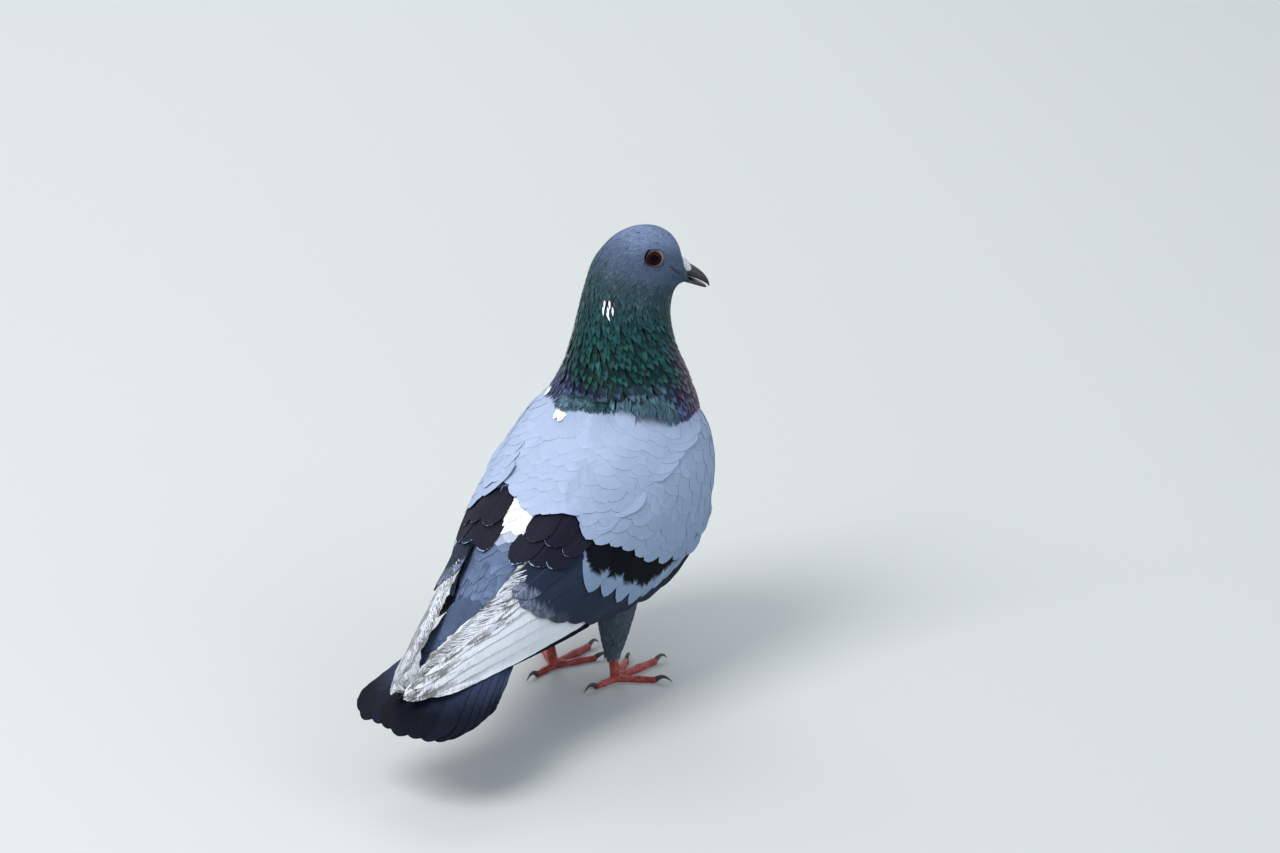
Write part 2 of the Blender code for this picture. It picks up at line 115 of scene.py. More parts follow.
BILL_UPPER = np.array([
    (59.2, 188.7, 58.8, 186.9, 4.3),
    (62.4, 190.5, 61.6, 185.5, 4.5),
    (66.2, 189.1, 65.2, 183.7, 3.7),
    (69.6, 186.8, 68.3, 182.3, 3.0),
    (72.4, 184.1, 71.1, 180.8, 2.3),
    (74.3, 181.1, 73.3, 179.4, 1.5),
    (75.0, 178.4, 74.5, 178.1, 0.4),
])
BILL_LOWER = np.array([
    (59.4, 186.2, 59.6, 184.1, 3.7),
    (62.6, 184.6, 63.0, 181.2, 3.8),
    (65.6, 183.1, 65.7, 180.1, 3.1),
    (68.5, 181.7, 68.4, 179.0, 2.5),
    (71.1, 180.3, 70.8, 178.1, 1.8),
    (73.0, 178.8, 72.9, 177.5, 1.0),
    (73.6, 178.0, 73.6, 177.7, 0.3),
])
CERE = np.array([62.5, 2.0, 189.4])
CERE_RADII = np.array([4.3, 2.8, 2.4])
CERE_SLOPE = math.radians(36)

# Wing stations: upper margin x, side, z; lower margin x, side, z; bulge; lean to the left.
WING = np.array([
    (46, 21, 124, 64, 27, 107, 2.5, 3.0),
    (40, 24, 128.5, 59.5, 33.5, 102, 8, 3.4),
    (30, 22, 131.5, 53, 41, 84, 13.5, 4.4),
    (13, 19, 128, 31, 46, 66, 15, 4.6),
    (-12, 17, 118, 3, 44.5, 55, 15, 4.2),
    (-40, 15, 106, -31, 39.5, 51, 12.5, 3.2),
    (-68, 13, 91, -63, 33.5, 50, 8, 2.0),
    (-100, 10, 73.5, -100, 28.5, 52, 4.5, 1.0),
    (-133, 5.8, 60.5, -135, 18.0, 50.5, 1.8, 1.2),
    (-158.5, 2.6, 49.5, -158.5, 4.2, 47.5, 0.1, 1.8),
])
WING_FOLD = {"right": 0.0, "left": 0.42}

TAIL_LENGTH = 74.0
TAIL_SLOPE = math.radians(22.0)
TAIL_YAW = math.radians(3.2)
TAIL_ROLL = math.radians(5)
TAIL_HALF_WIDTH = (17.0, 27.5)
TAIL_ARCH = 6.5
TAIL_HALF_HEIGHT = 8.9

KNEE = {"right": (5.0, -15.0, 55.0), "left": (3.5, 16.5, 55.0)}
SHIN = {"right": (-3.0, -16.8, 17.0), "left": (-5.0, 16.8, 17.0)}
FOOT = {"right": (0.5, -16.0), "left": (-1.5, 16.0)}
FOOT_YAW = {"right": math.radians(-13), "left": math.radians(-6)}
SHANK_RADIUS = 2.3
THIGH_RADII = (12.5, 3.6)
TOES = {"inner": (-30, 21, 1.8), "middle": (0, 27, 2.0), "outer": (52, 19, 1.8), "hind": (180, 13, 1.7)}
CLAW_LENGTH, CLAW_RADIUS = 7.0, 1.0


# ---------------------------------------------------------------- surfaces


def floats(first, second):
    """Two sets of parameters as numbers in one shape."""
    return np.broadcast_arrays(np.asarray(first, float), np.asarray(second, float))


def joined(*parts):
    """Coordinates brought to one shape and put together on a new last axis."""
    return np.stack(np.broadcast_arrays(*parts), -1)


def crossed(first, second):
    """Every pair of two rows of parameters, as two grids."""
    return np.meshgrid(first, second, indexing="ij")


def angles(count, shift=0.0):
    """Angles evenly round a ring."""
    return (np.arange(count) + shift) * TURN / count


def unit(vectors):
    """The vectors made one long."""
    return vectors / np.maximum(np.linalg.norm(vectors, axis=-1, keepdims=True), 1e-9)


def spline(f, a, b, c, d):
    """The Catmull-Rom curve's share f of the way from b to c."""
    return b + 0.5 * f * (c - a + f * (2 * a - 5 * b + 4 * c - d + f * (3 * (b - c) + d - a)))


def through(rows, at):
    """Catmull-Rom curve through the rows at knot numbers, carried on in a straight line past its ends."""
    last = len(rows) - 1
    padded = np.vstack([2 * rows[0] - rows[1], rows, 2 * rows[-1] - rows[-2]])
    at = np.asarray(at, float)
    inside = np.clip(at, 0, last)
    knot = np.minimum(inside.astype(int), last - 1)
    curve = spline((inside - knot)[..., None], *(padded[knot + i] for i in range(4)))
    beyond = (at - inside)[..., None]
    return curve + beyond * np.where(beyond < 0, rows[1] - rows[0], rows[-1] - rows[-2])


def smooth(f):
    """Rises from 0 to 1 as 3f^2 - 2f^3."""
    f = np.clip(f, 0, 1)
    return f * f * (3 - 2 * f)


def turned(points, angle, axis_x=NECK_AXIS_X):
    """The points turned by an angle about the upright axis at axis_x."""
    c, s = np.cos(angle), np.sin(angle)
    x, y = points[..., 0] - axis_x, points[..., 1]
    return joined(axis_x + c * x - s * y, s * x + c * y, points[..., 2])


def on_head(place, sign=1):
    """A place of the unturned head, or its mirror image for a sign of -1, carried round with the head."""
    return turned(place * [1, sign, 1], HEAD_TURN)


def hung(row, theta, swell=0.0):
    """A point of an ellipse hung between two lines: its height goes as cos theta, its width as sin theta."""
    top = joined(row[..., 0], 0 * theta, row[..., 1])
    bottom = joined(row[..., 2], 0 * theta, row[..., 3])
    half = np.linalg.norm(top - bottom, axis=-1) / 2
    up = (top - bottom) / (2 * half)[..., None]
    lift = row[..., 5] if row.shape[-1] > 5 else 0
    lean = row[..., 6] if row.shape[-1] > 6 else 0
    points = (top + bottom) / 2 + up * ((half + swell) * np.cos(theta))[..., None]
    points[..., 1] += (row[..., 4] + swell) * np.sin(theta) * (1 + lift * np.cos(theta)) + lean
    return points


def body(at, theta, swell=0.0):
    """The plumage's outline from the tail root (0) to the bill (20), its head turned and its rump yawed."""
    at, theta = floats(at, theta)
    points = hung(through(BODY_ROWS, at), theta, swell)
    low, high = NAMES.index("neck_base"), NAMES.index("occiput")
    points = turned(points, HEAD_TURN * smooth((at - low) / (high - low)))
    return turned(points, TAIL_YAW * smooth(1 - at / 3), STATIONS["hip"][0])


def wing_of(side):
    """A folded wing's outer face over (along, across): lines between its margins, bulged as a half sine,
    which drop inwards by a square above the upper margin."""
    knots = len(WING) - 1

    def surface(along, across):
        along, across = floats(along, across)
        row = through(WING, along * knots)
        ahead = through(WING, along * knots + 0.02) - through(WING, along * knots - 0.02)
        upper, lower = row[..., 0:3], row[..., 3:6]
        chord = (lower - upper) * (1 - WING_FOLD[side] * smooth(along * 3.375 - 2.17))[..., None]
        out = unit(np.cross(chord, ahead[..., 0:3] + ahead[..., 3:6]))
        bulge = row[..., 6] * np.sin(math.pi * np.clip(across, 0, 1)) ** 0.85
        swell = bulge - 90 * np.clip(-across, 0, 1) ** 2
        points = upper + chord * across[..., None] + out * swell[..., None]
        if side == "right":
            points = points * [1, -1, 1]
        points[..., 1] += row[..., 7]
        return points

    return surface


def tail_of():
    """The tail's upper face over (along, across): a cambered, arched and rolled fan."""
    centre = body(np.zeros(28), angles(28)).mean(0)
    frame = np.array(Matrix.Rotation(TAIL_YAW, 3, "Z") @ Matrix.Rotation(-TAIL_SLOPE, 3, "Y"))

    def surface(along, across):
        along, across = floats(along, across)
        reach = TAIL_LENGTH - 7.0 * across**4 - 3.0 * across**2
        on = np.clip(along, 0, 1)
        y = across * (TAIL_HALF_WIDTH[0] + (TAIL_HALF_WIDTH[1] - TAIL_HALF_WIDTH[0]) * on**0.75)
        round_edge = np.sqrt(np.clip(1 - across**2 * (1 - 0.15 * on), 0, 1))
        half = 0.5 + (TAIL_HALF_HEIGHT - 0.5) * (1 - on) ** 2.8 * round_edge
        set_in = smooth(along * 6)
        z = 1.2 * along - TAIL_ARCH * set_in * (1 - 0.6 * along) * across**2 + half
        roll = TAIL_ROLL * set_in
        c, s = np.cos(roll), np.sin(roll)
        return joined(-along * reach, y * c - z * s, y * s + z * c) @ frame.T + centre

    return surface


def thigh_of(side):
    """The leg's feathers as a cone over (along from knee to shin, angle round)."""
    knee, shin = np.array(KNEE[side]), np.array(SHIN[side])
    ahead = unit(shin - knee)
    out = unit(np.cross(ahead, [0, 1.0, 0]))
    beside = np.cross(ahead, out)

    def surface(along, angle):
        along, angle = floats(along, angle)
        radius = THIGH_RADII[1] + (THIGH_RADII[0] - THIGH_RADII[1]) * np.clip(1 - along, 0, 1) ** 0.8
        ring = np.cos(angle)[..., None] * out + np.sin(angle)[..., None] * beside
        return knee + (shin - knee) * along[..., None] + ring * radius[..., None]

    return surface


def weave(columns, across):
    """Catmull-Rom curve across columns of points, which are stacked on the last axis but one."""
    last = columns.shape[-2] - 1
    first = 2 * columns[..., :1, :] - columns[..., 1:2, :]
    final = 2 * columns[..., -1:, :] - columns[..., -2:-1, :]
    padded = np.concatenate([first, columns, final], -2)
    inside = np.clip(across, 0, last)
    knot = np.minimum(inside.astype(int), last - 1)
    a, b, c, d = (np.take_along_axis(padded, (knot + i)[..., None, None], -2)[..., 0, :] for i in range(4))
    curve = spline((inside - knot)[..., None], a, b, c, d)
    return curve + (across - inside)[..., None] * np.where((across < 0)[..., None], b - a, d - c)


# For each quarter of the saddle's length: the station of the body and the share of the wing that it joins.
MANTLE_ROWS = np.array([
    (7.0, 0.17), (5.6, 0.30), (4.3, 0.41), (3.2, 0.51),
    (2.25, 0.61), (1.55, 0.665), (0.8, 0.72), (-0.1, 0.775),
])


def mantle_of(along, across):
    """The feathered saddle over (0 at the neck to 1 over the loins, 0 on the left wing to 6 on the right
    one): curves from wing to wing over the back, each from a station of the wings to one of the body."""
    along, across = floats(along, across)
    station, share = np.moveaxis(through(MANTLE_ROWS, along * 4), -1, 0)
    left, right = wing_of("left"), wing_of("right")
    columns = [left(share, 0.36), left(share, 0.12), body(station, 0.30, 1.2), body(station, 0.0, 0.6),
               body(station, -0.30, 1.2), right(share, 0.12), right(share, 0.36)]
    return weave(np.stack(columns, -2), across)


class Sheet:
    """A surface with the side that faces out, the steps for its slopes and its place in the shared unwrap."""

    def __init__(self, surface, sign, steps, place):
        self.at, self.sign, self.steps, self.place = surface, sign, steps, place

    def slopes(self, at):
        """Point, outward normal and the two slopes at the parameters at[..., 0:2]."""
        u, v = at[..., 0], at[..., 1]
        du, dv = self.steps
        along = (self.at(u + du, v) - self.at(u - du, v)) / (2 * du)
        across = (self.at(u, v + dv) - self.at(u, v - dv)) / (2 * dv)
        return self.at(u, v), unit(np.cross(along, across) * self.sign), along, across

    def steps_for(self, along, across, move):
        """How far the parameters go for a move in space along the surface."""
        aa, ab, bb = (along * along).sum(-1), (along * across).sum(-1), (across * across).sum(-1)
        ma, mb = (along * move).sum(-1), (across * move).sum(-1)
        det = np.maximum(aa * bb - ab * ab, 1e-9)
        return joined((bb * ma - ab * mb) / det, (aa * mb - ab * ma) / det)

    def unwrap(self, at):
        """Where parameters lie on the shared unwrap; place is its corner, its size and each one's range."""
        u0, v0, width, height, first, second = self.place
        share_u = (at[..., 1] - second[0]) / (second[1] - second[0])
        share_v = (at[..., 0] - first[0]) / (first[1] - first[0])
        return joined(u0 + width * np.clip(share_u, 0, 1), v0 + height * np.clip(share_v, 0, 1))


BODY = Sheet(body, 1, (0.01, 0.01), (0.01, 0.01, 0.58, 0.98, (-1, BODY_END + 0.5), (0, TURN)))
WINGS = {
    "right": Sheet(wing_of("right"), 1, (0.002, 0.004), (0.61, 0.63, 0.18, 0.36, (-0.05, 1.05), (-0.3, 1.1))),
    "left": Sheet(wing_of("left"), -1, (0.002, 0.004), (0.81, 0.63, 0.18, 0.36, (-0.05, 1.05), (-0.3, 1.1))),
}
MANTLE = Sheet(mantle_of, 1, (0.01, 0.02), (0.61, 0.50, 0.38, 0.11, (-0.3, 1.3), (-0.1, 6.1)))
TAIL_TOP = Sheet(tail_of(), -1, (0.004, 0.004), (0.61, 0.26, 0.18, 0.22, (-0.1, 1.1), (-1.1, 1.1)))
THIGHS = {
    "right": Sheet(thigh_of("right"), 1, (0.01, 0.02), (0.61, 0.02, 0.18, 0.22, (0, 1.1), (0, TURN))),
    "left": Sheet(thigh_of("left"), 1, (0.01, 0.02), (0.81, 0.02, 0.18, 0.22, (0, 1.1), (0, TURN))),
}


def frame_shift():
    """From the bird's own origin to the row's: where the right eye is, less where its own numbers put it."""
    low, high = (np.array(corner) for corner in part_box("eye_right"))
    return (low + high) / 2 / MM - on_head(EYE, -1)


SHIFT = frame_shift()


# ---------------------------------------------------------------- meshes

SHARP_EDGE = math.radians(50)
# Where on the unwrap the sheets begin that close round, and how wide they are there.
CLOSED_SHEETS = ((0.0, 0.58), (0.6, 0.18), (0.8, 0.18))


def mesh_of(name, points, faces, finish, uv=None, **layers):
    """A mesh from points in millimetres, faces as integer arrays of one face a row, and point attributes."""
    mesh = bpy.data.meshes.new(name)
    mesh.vertices.add(len(points))
    mesh.vertices.foreach_set("co", ((points + SHIFT) * MM).astype(np.float32).ravel())
    corners = np.concatenate([part.ravel() for part in faces])
    sizes = np.concatenate([np.full(len(part), part.shape[1]) for part in faces])
    mesh.loops.add(len(corners))
    mesh.loops.foreach_set("vertex_index", corners.astype(np.int32))
    mesh.polygons.add(len(sizes))
    mesh.polygons.foreach_set("loop_start", np.concatenate([[0], np.cumsum(sizes)[:-1]]).astype(np.int32))
    mesh.update(calc_edges=True)
    for layer, values in layers.items():
        kind = "FLOAT_COLOR" if values.shape[-1] == 4 else "FLOAT_VECTOR"
        data = mesh.attributes.new(layer, kind, "POINT").data
        data.foreach_set("color" if kind == "FLOAT_COLOR" else "vector", values.astype(np.float32).ravel())
    if uv is not None:
        mesh.uv_layers.new(name="OFBake")
        mesh.uv_layers["OFBake"].data.foreach_set("uv", past_seam(uv, faces).astype(np.float32).ravel())
    mesh.validate()
    mesh.shade_smooth()
    mesh.set_sharp_from_angle(angle=SHARP_EDGE)
    mesh.materials.append(finish)
    piece = bpy.data.objects.new(name, mesh)
    bpy.context.scene.collection.objects.link(piece)
    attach(piece, "root")
    return piece


def past_seam(uv, faces):
    """The corners' places on the unwrap, where a face over a closed sheet's seam goes on past its edge."""
    corners = [uv[part] for part in faces]
    for place in corners:
        for start, width in CLOSED_SHEETS:
            first = place[..., 0].min(1, keepdims=True)
            wide = np.ptp(place[..., 0], axis=1, keepdims=True) > width * 0.6
            spans = wide & (first > start) & (first < start + 0.1)
            place[..., 0] += width * (spans & (place[..., 0] < first + width * 0.4))
    return np.concatenate([place.reshape(-1, 2) for place in corners])


def grid_faces(rows, columns, wrap, first=0):
    """Quads of a grid whose normal is (row step) x (column step); wrap joins the last column to the first."""
    i, j = crossed(np.arange(rows - 1), np.arange(columns if wrap else columns - 1))
    k = (j + 1) % columns
    quads = joined(i * columns + j, (i + 1) * columns + j, (i + 1) * columns + k, i * columns + k)
    return quads.reshape(-1, 4) + first


def tube_faces(rows, ring, count=1):
    """Faces of count closed tubes of rows rings each, with a flat cap at either end."""
    quads = grid_faces(rows, ring, True)
    first = np.arange(count)[:, None, None] * rows * ring
    cap = np.arange(ring)[None, None, :]
    start = (first + cap).reshape(-1, ring)
    end = (first + (rows - 1) * ring + cap[..., ::-1]).reshape(-1, ring)
    return [(quads[None] + first).reshape(-1, 4), start, end]


class Parts:
    """Several lofts gathered into one mesh."""

    def __init__(self):
        self.points, self.faces, self.layers, self.uv, self.count = [], [], {}, [], 0

    def add(self, points, faces, uv=None, **layers):
        self.points.append(points.reshape(-1, 3))
        self.faces += [part + self.count for part in faces]
        for key, values in layers.items():
            self.layers.setdefault(key, []).append(values.reshape(-1, values.shape[-1]))
        if uv is not None:
            self.uv.append(uv.reshape(-1, 2))
        self.count += points.size // 3

    def loft(self, rings, flip=False, **layers):
        """A closed tube through rings, capped at both ends."""
        faces = tube_faces(*rings.shape[:2])
        if flip:
            faces = [part[:, ::-1] for part in faces]
        self.add(rings, faces, **layers)

    def made(self, name, finish):
        merged = {}
        for part in self.faces:
            merged.setdefault(part.shape[1], []).append(part)
        faces = [np.concatenate(group) for group in merged.values()]
        layers = {key: np.concatenate(values) for key, values in self.layers.items()}
        uv = np.concatenate(self.uv) if self.uv else None
        return mesh_of(name, np.concatenate(self.points), faces, finish, uv, **layers)


# ---------------------------------------------------------------- colours


def tint(red, green, blue):
    """A colour in linear light from the 0 to 255 steps of a screen."""
    value = np.array([red, green, blue]) / 255
    return np.where(value <= 0.04045, value / 12.92, ((value + 0.055) / 1.055) ** 2.4)


PALE = tint(164, 178, 205)
COVERT = tint(126, 145, 173)
SLATE = tint(92, 108, 138)
DARK_SLATE = tint(58, 72, 98)
HEAD = tint(78, 92, 116)
# The head's slate as lit from above: painted light on the crown.
LIT_CROWN = tint(112, 129, 160)
CHEEK = tint(64, 84, 106)
NAPE = tint(44, 66, 70)
HEM = tint(80, 106, 122)
GREEN = tint(31, 70, 70)
TEAL = tint(26, 62, 64)
PURPLE = tint(96, 80, 100)
VIOLET_SLATE = tint(66, 76, 108)
WHITE = tint(240, 244, 246)
PRIMARY = tint(208, 214, 222)
BAR = tint(7, 11, 19)
BROWN_BLACK = tint(26, 26, 40)
GREY_TIP = tint(124, 144, 170)
MOTTLE = tint(126, 138, 162)
TAIL = tint(48, 60, 84)
TAIL_END = tint(7, 12, 25)
# The thighs' slate as it looks in shade under the belly: painted shade.
THIGH_IN_SHADE = tint(72, 84, 94)
DIRT = tint(64, 60, 50)


def down_of(theta):
    """0 on the back and 1 on the belly."""
    return (1 - np.cos(theta)) / 2


def blend(a, b, share):
    """Colour a turning into colour b as the share goes from 0 to 1."""
    share = np.clip(np.asarray(share, float), 0, 1)[..., None]
    return a * (1 - share) + b * share


def patch(at, theta, centre, size):
    """1 inside an oval of the body's parameters and 0 outside it; angles are in degrees."""
    turn = (np.degrees(theta) - centre[1] + 180) % 360 - 180
    return smooth(1.6 - 1.3 * np.hypot((at - centre[0]) / size[0], turn / size[1]))


def neck_line(theta):
    """The station where the glossy neck feathers end over the pale saddle and the breast."""
    down = down_of(theta)
    return 6.7 + 0.75 * smooth(2 * np.sqrt(down)) + 0.5 * smooth((down - 0.55) * 3)


def body_colour(at, theta):
    """The markings of head, neck and trunk over the body's parameters, with painted light on the crown."""
    at, theta = floats(at, theta)
    down = down_of(theta)
    colour = blend(PALE, SLATE, smooth((down - 0.45) * 3))
    colour = blend(colour, SLATE, smooth((2.2 - at) / 0.9))
    colour = blend(colour, WHITE, smooth(3 * patch(at, theta, (2.25, 24), (0.7, 40))))
    line = neck_line(theta)
    violet = blend(VIOLET_SLATE, HEM, smooth(2 * patch(at, theta, (7.2, 318), (2.5, 34))))
    violet = blend(violet, PURPLE, smooth((down - 0.35) * 3))
    colour = blend(colour, violet, smooth((at - line + 0.15) * 4))
    colour = blend(
        colour, blend(GREEN, TEAL, smooth((at - 8.5) / 3)),
        smooth((at - line - 0.3 - 1.1 * down - 0.5 * np.clip(np.cos(theta - 0.5), 0, 1)) / 0.8)
    )
    front = smooth((down - 0.52) * 5) * smooth((at - 7.0) * 1.5) * smooth((10.4 - at) / 1.5)
    colour = blend(colour, PURPLE, 0.8 * front)
    # Lighter on top of the head: painted light on the crown.
    head = blend(HEAD, LIT_CROWN, smooth((0.42 - down) * 3) * smooth((at - 14.0) / 2))
    head = blend(head, CHEEK, smooth((down - 0.6) * 4))
    head = blend(head, NAPE, smooth((14.4 - at) / 2.0) * 0.9)
    return blend(colour, head, smooth((at - 10.2 - 0.4 * down) / 2.0))


# ---------------------------------------------------------------- materials


class Wire:
    """A socket of a material. Arithmetic on it adds Math nodes."""

    def __init__(self, finish, socket):
        self.finish, self.socket = finish, socket

    def math(self, operation, *values):
        return self.finish.node("ShaderNodeMath", {"operation": operation}, *values)

    def __add__(self, other):
        return self.math("ADD", self, other)

    def __sub__(self, other):
        return self.math("SUBTRACT", self, other)

    def __rsub__(self, other):
        return self.math("SUBTRACT", other, self)

    def __mul__(self, other):
        return self.math("MULTIPLY", self, other)

    __radd__, __rmul__ = __add__, __mul__

    def size(self):
        return self.math("ABSOLUTE", self)

    def ramp(self, low, high):
        """0 below low and 1 above high, with a soft rise between."""
        settings = {"interpolation_type": "SMOOTHSTEP"}
        return self.finish.node("ShaderNodeMapRange", settings, self, low, high)


class Finish:
    """A material whose nodes are written as expressions."""

    def __init__(self, name, **constants):
        self.material = bpy.data.materials.new(name)
        self.material.use_nodes = True
        self.tree = self.material.node_tree
        self.shader = self.tree.nodes["Principled BSDF"]
        for socket, value in constants.items():
            self.shader.inputs[socket.replace("_", " ")].default_value = value

    def node(self, kind, settings, *values, output=0, **named):
        """Any node: its settings first, then its sockets by number or name, as values or links."""
        made = self.tree.nodes.new(kind)
        for key, value in settings.items():
            setattr(made, key, value)
        for place, value in enumerate(values):
            self.put(made.inputs[place], value)
        for key, value in named.items():
            self.put(made.inputs[key.replace("_", " ")], value)
        return Wire(self, made.outputs[output])

    def put(self, socket, value):
        """Links a socket to a wire, or gives it a plain value."""
        if isinstance(value, Wire):
            self.tree.links.new(value.socket, socket)
        else:
            socket.default_value = value

    def set(self, **named):
        for key, value in named.items():
            self.put(self.shader.inputs[key.replace("_", " ")], value)

    def attribute(self, name, output=0):
        return self.node("ShaderNodeAttribute", {"attribute_name": name}, output=output)

    def parts(self, vector):
        """The x, y and z of a vector."""
        split = self.tree.nodes.new("ShaderNodeSeparateXYZ")
        self.put(split.inputs[0], vector)
        return [Wire(self, socket) for socket in split.outputs]

    def layer(self, name):
        """The three numbers of a point attribute."""
        return self.parts(self.attribute(name, 1))

    def vector(self, x, y, z):
        return self.node("ShaderNodeCombineXYZ", {}, x, y, z)

    def place(self):
        return self.node("ShaderNodeTexCoord", {}, output=3)

    def noise(self, vector, scale, detail=3.0, roughness=0.55):
        return self.node(
            "ShaderNodeTexNoise", {}, Vector=vector, Scale=scale, Detail=detail, Roughness=roughness
        )

    def mix(self, factor, a, b, how="MIX"):
        """Colours a and b mixed by a factor; a plain colour is given as three numbers."""
        made = self.tree.nodes.new("ShaderNodeMix")
        made.data_type, made.blend_type = "RGBA", how
        self.put(made.inputs[0], factor)
        for index, value in ((6, a), (7, b)):
            self.put(made.inputs[index], value if isinstance(value, Wire) else (*value, 1))
        return Wire(self, made.outputs[2])

    def scaled(self, colour, by):
        """A colour times a value, through a grey mix, so that its hue stays."""
        grey = self.vector(by, by, by)
        return self.mix(1.0, colour, grey, "MULTIPLY")

    def bump(self, height, strength, distance):
        return self.node("ShaderNodeBump", {}, Height=height, Strength=strength, Distance=distance * MM)


def plumage(name, streaks=0.2, shaft=0.0, roughness=0.75, relief=0.35, fine=1.0, mottle=None, **constants):
    """Feather finish. Barbs are noise drawn out along slanting lines; the tip's shade begins at a ragged line
    and is broken by freckles where it is mottled."""
    finish = Finish(name, Roughness=roughness, Specular_IOR_Level=0.1, **constants)
    share, _, seed = finish.layer("vane")
    length, breadth, run = finish.layer("barb")
    border, soft, _ = finish.layer("marks")
    on_barb = length - breadth.size() * 0.9
    barbs = finish.noise(finish.vector(on_barb * 1.9 * fine, breadth * 0.25, seed * 40), 1.0, 2.0)
    clumps = finish.noise(finish.vector(on_barb * 0.5 * fine, breadth * 0.12, seed * 17 + 3), 1.0, 2.0)
    ragged = share + (clumps - 0.5) * 0.16 + (barbs - 0.5) * 0.06
    tipped = ragged.ramp(border, border + soft)
    if mottle:
        amount, along_vane, over_vane = mottle
        grain = finish.vector(on_barb * along_vane, breadth * over_vane, seed * 23)
        freckles = finish.noise(grain, 1.0, 3.0, 0.65)
        tipped = tipped * (1 - (freckles + (barbs - 0.5) * 0.3).ramp(0.40, 0.60) * amount)
    colour = finish.mix(tipped, finish.attribute("shade"), finish.attribute("tip_shade"))
    wide = finish.noise(finish.place(), 55.0)
    tone = 1 + (barbs - 0.5) * streaks + (clumps - 0.5) * streaks + (wide - 0.5) * 0.12
    if shaft:
        line = (breadth.size() * 2.4).ramp(1.0, 0.3) * (1 - run * 0.5)
        tone = tone + line * shaft
    finish.set(Base_Color=finish.scaled(colour, tone))
    finish.set(Normal=finish.bump(barbs * 0.6 + clumps * 0.4, relief, 0.3))
    return finish.material


# ---------------------------------------------------------------- feathers


# Shapes of vanes: the shares of the length where the root's curve ends and the tip's begins, the power of the
# tip's curve and its bluntness.
PLAIN_VANE = (0.3, 0.6, 2.0, 0.5)
FACE_VANE = (0.3, 0.4, 1.8, 0.6)
LANCE = (0.45, 0.45, 1.6, 0.7)
HAIR = (0.4, 0.2, 1.2, 0.9)
FLECK = (0.4, 0.4, 1.5, 0.8)
SOFT_TIP = (0.35, 0.5, 2.2, 0.5)
BAR_VANE = (0.3, 0.62, 2.3, 0.5)
LONG_VANE = (0.12, 0.82, 2.4, 0.5)
BROAD_VANE = (0.2, 0.6, 2.2, 0.5)
TAIL_VANE = (0.08, 0.86, 2.4, 0.5)
RUMP_VANE = (0.3, 0.45, 1.6, 0.65)
THIGH_VANE = (0.35, 0.4, 1.8, 0.7)


def outline(t, root, tip, power, blunt):
    """Half width of a vane along its length: a quarter circle up to root, level, then down over the tip."""
    rise = np.sqrt(np.clip(1 - (1 - np.clip(t / root, 0, 1)) ** 2, 0, 1))
    fall = np.clip(1 - np.clip((t - tip) / (1 - tip), 0, 1) ** power, 0, 1) ** blunt
    return np.maximum((0.12 + 0.88 * rise) * fall, 0.03)


def flat_on(heading, normal):
    """The heading laid into the surface of a normal, one long."""
    return unit(heading - normal * (heading * normal).sum(-1, keepdims=True))


def flow(sheet, roots, heading, length, rows):
    """Paths that leave the roots with a heading in space and go straight over the surface for a length."""
    at, path = roots.copy(), []
    stops = stations(rows)
    for k in range(rows):
        path.append(at.copy())
        _, normal, along, across = sheet.slopes(at)
        heading = flat_on(heading, normal)
        if k < rows - 1:
            step = (stops[k + 1] - stops[k]) * length
            at = at + sheet.steps_for(along, across, heading * step[:, None])
    return np.stack(path, 1)


def stations(rows):
    """Where the rows lie along a feather: closer together towards the tip."""
    return 1 - (1 - np.linspace(0, 1, rows)) ** 1.35


def straight(roots, tips, rows):
    """Paths in even lines between root and tip parameters."""
    return roots[:, None] + (tips - roots)[:, None] * stations(rows)[None, :, None]


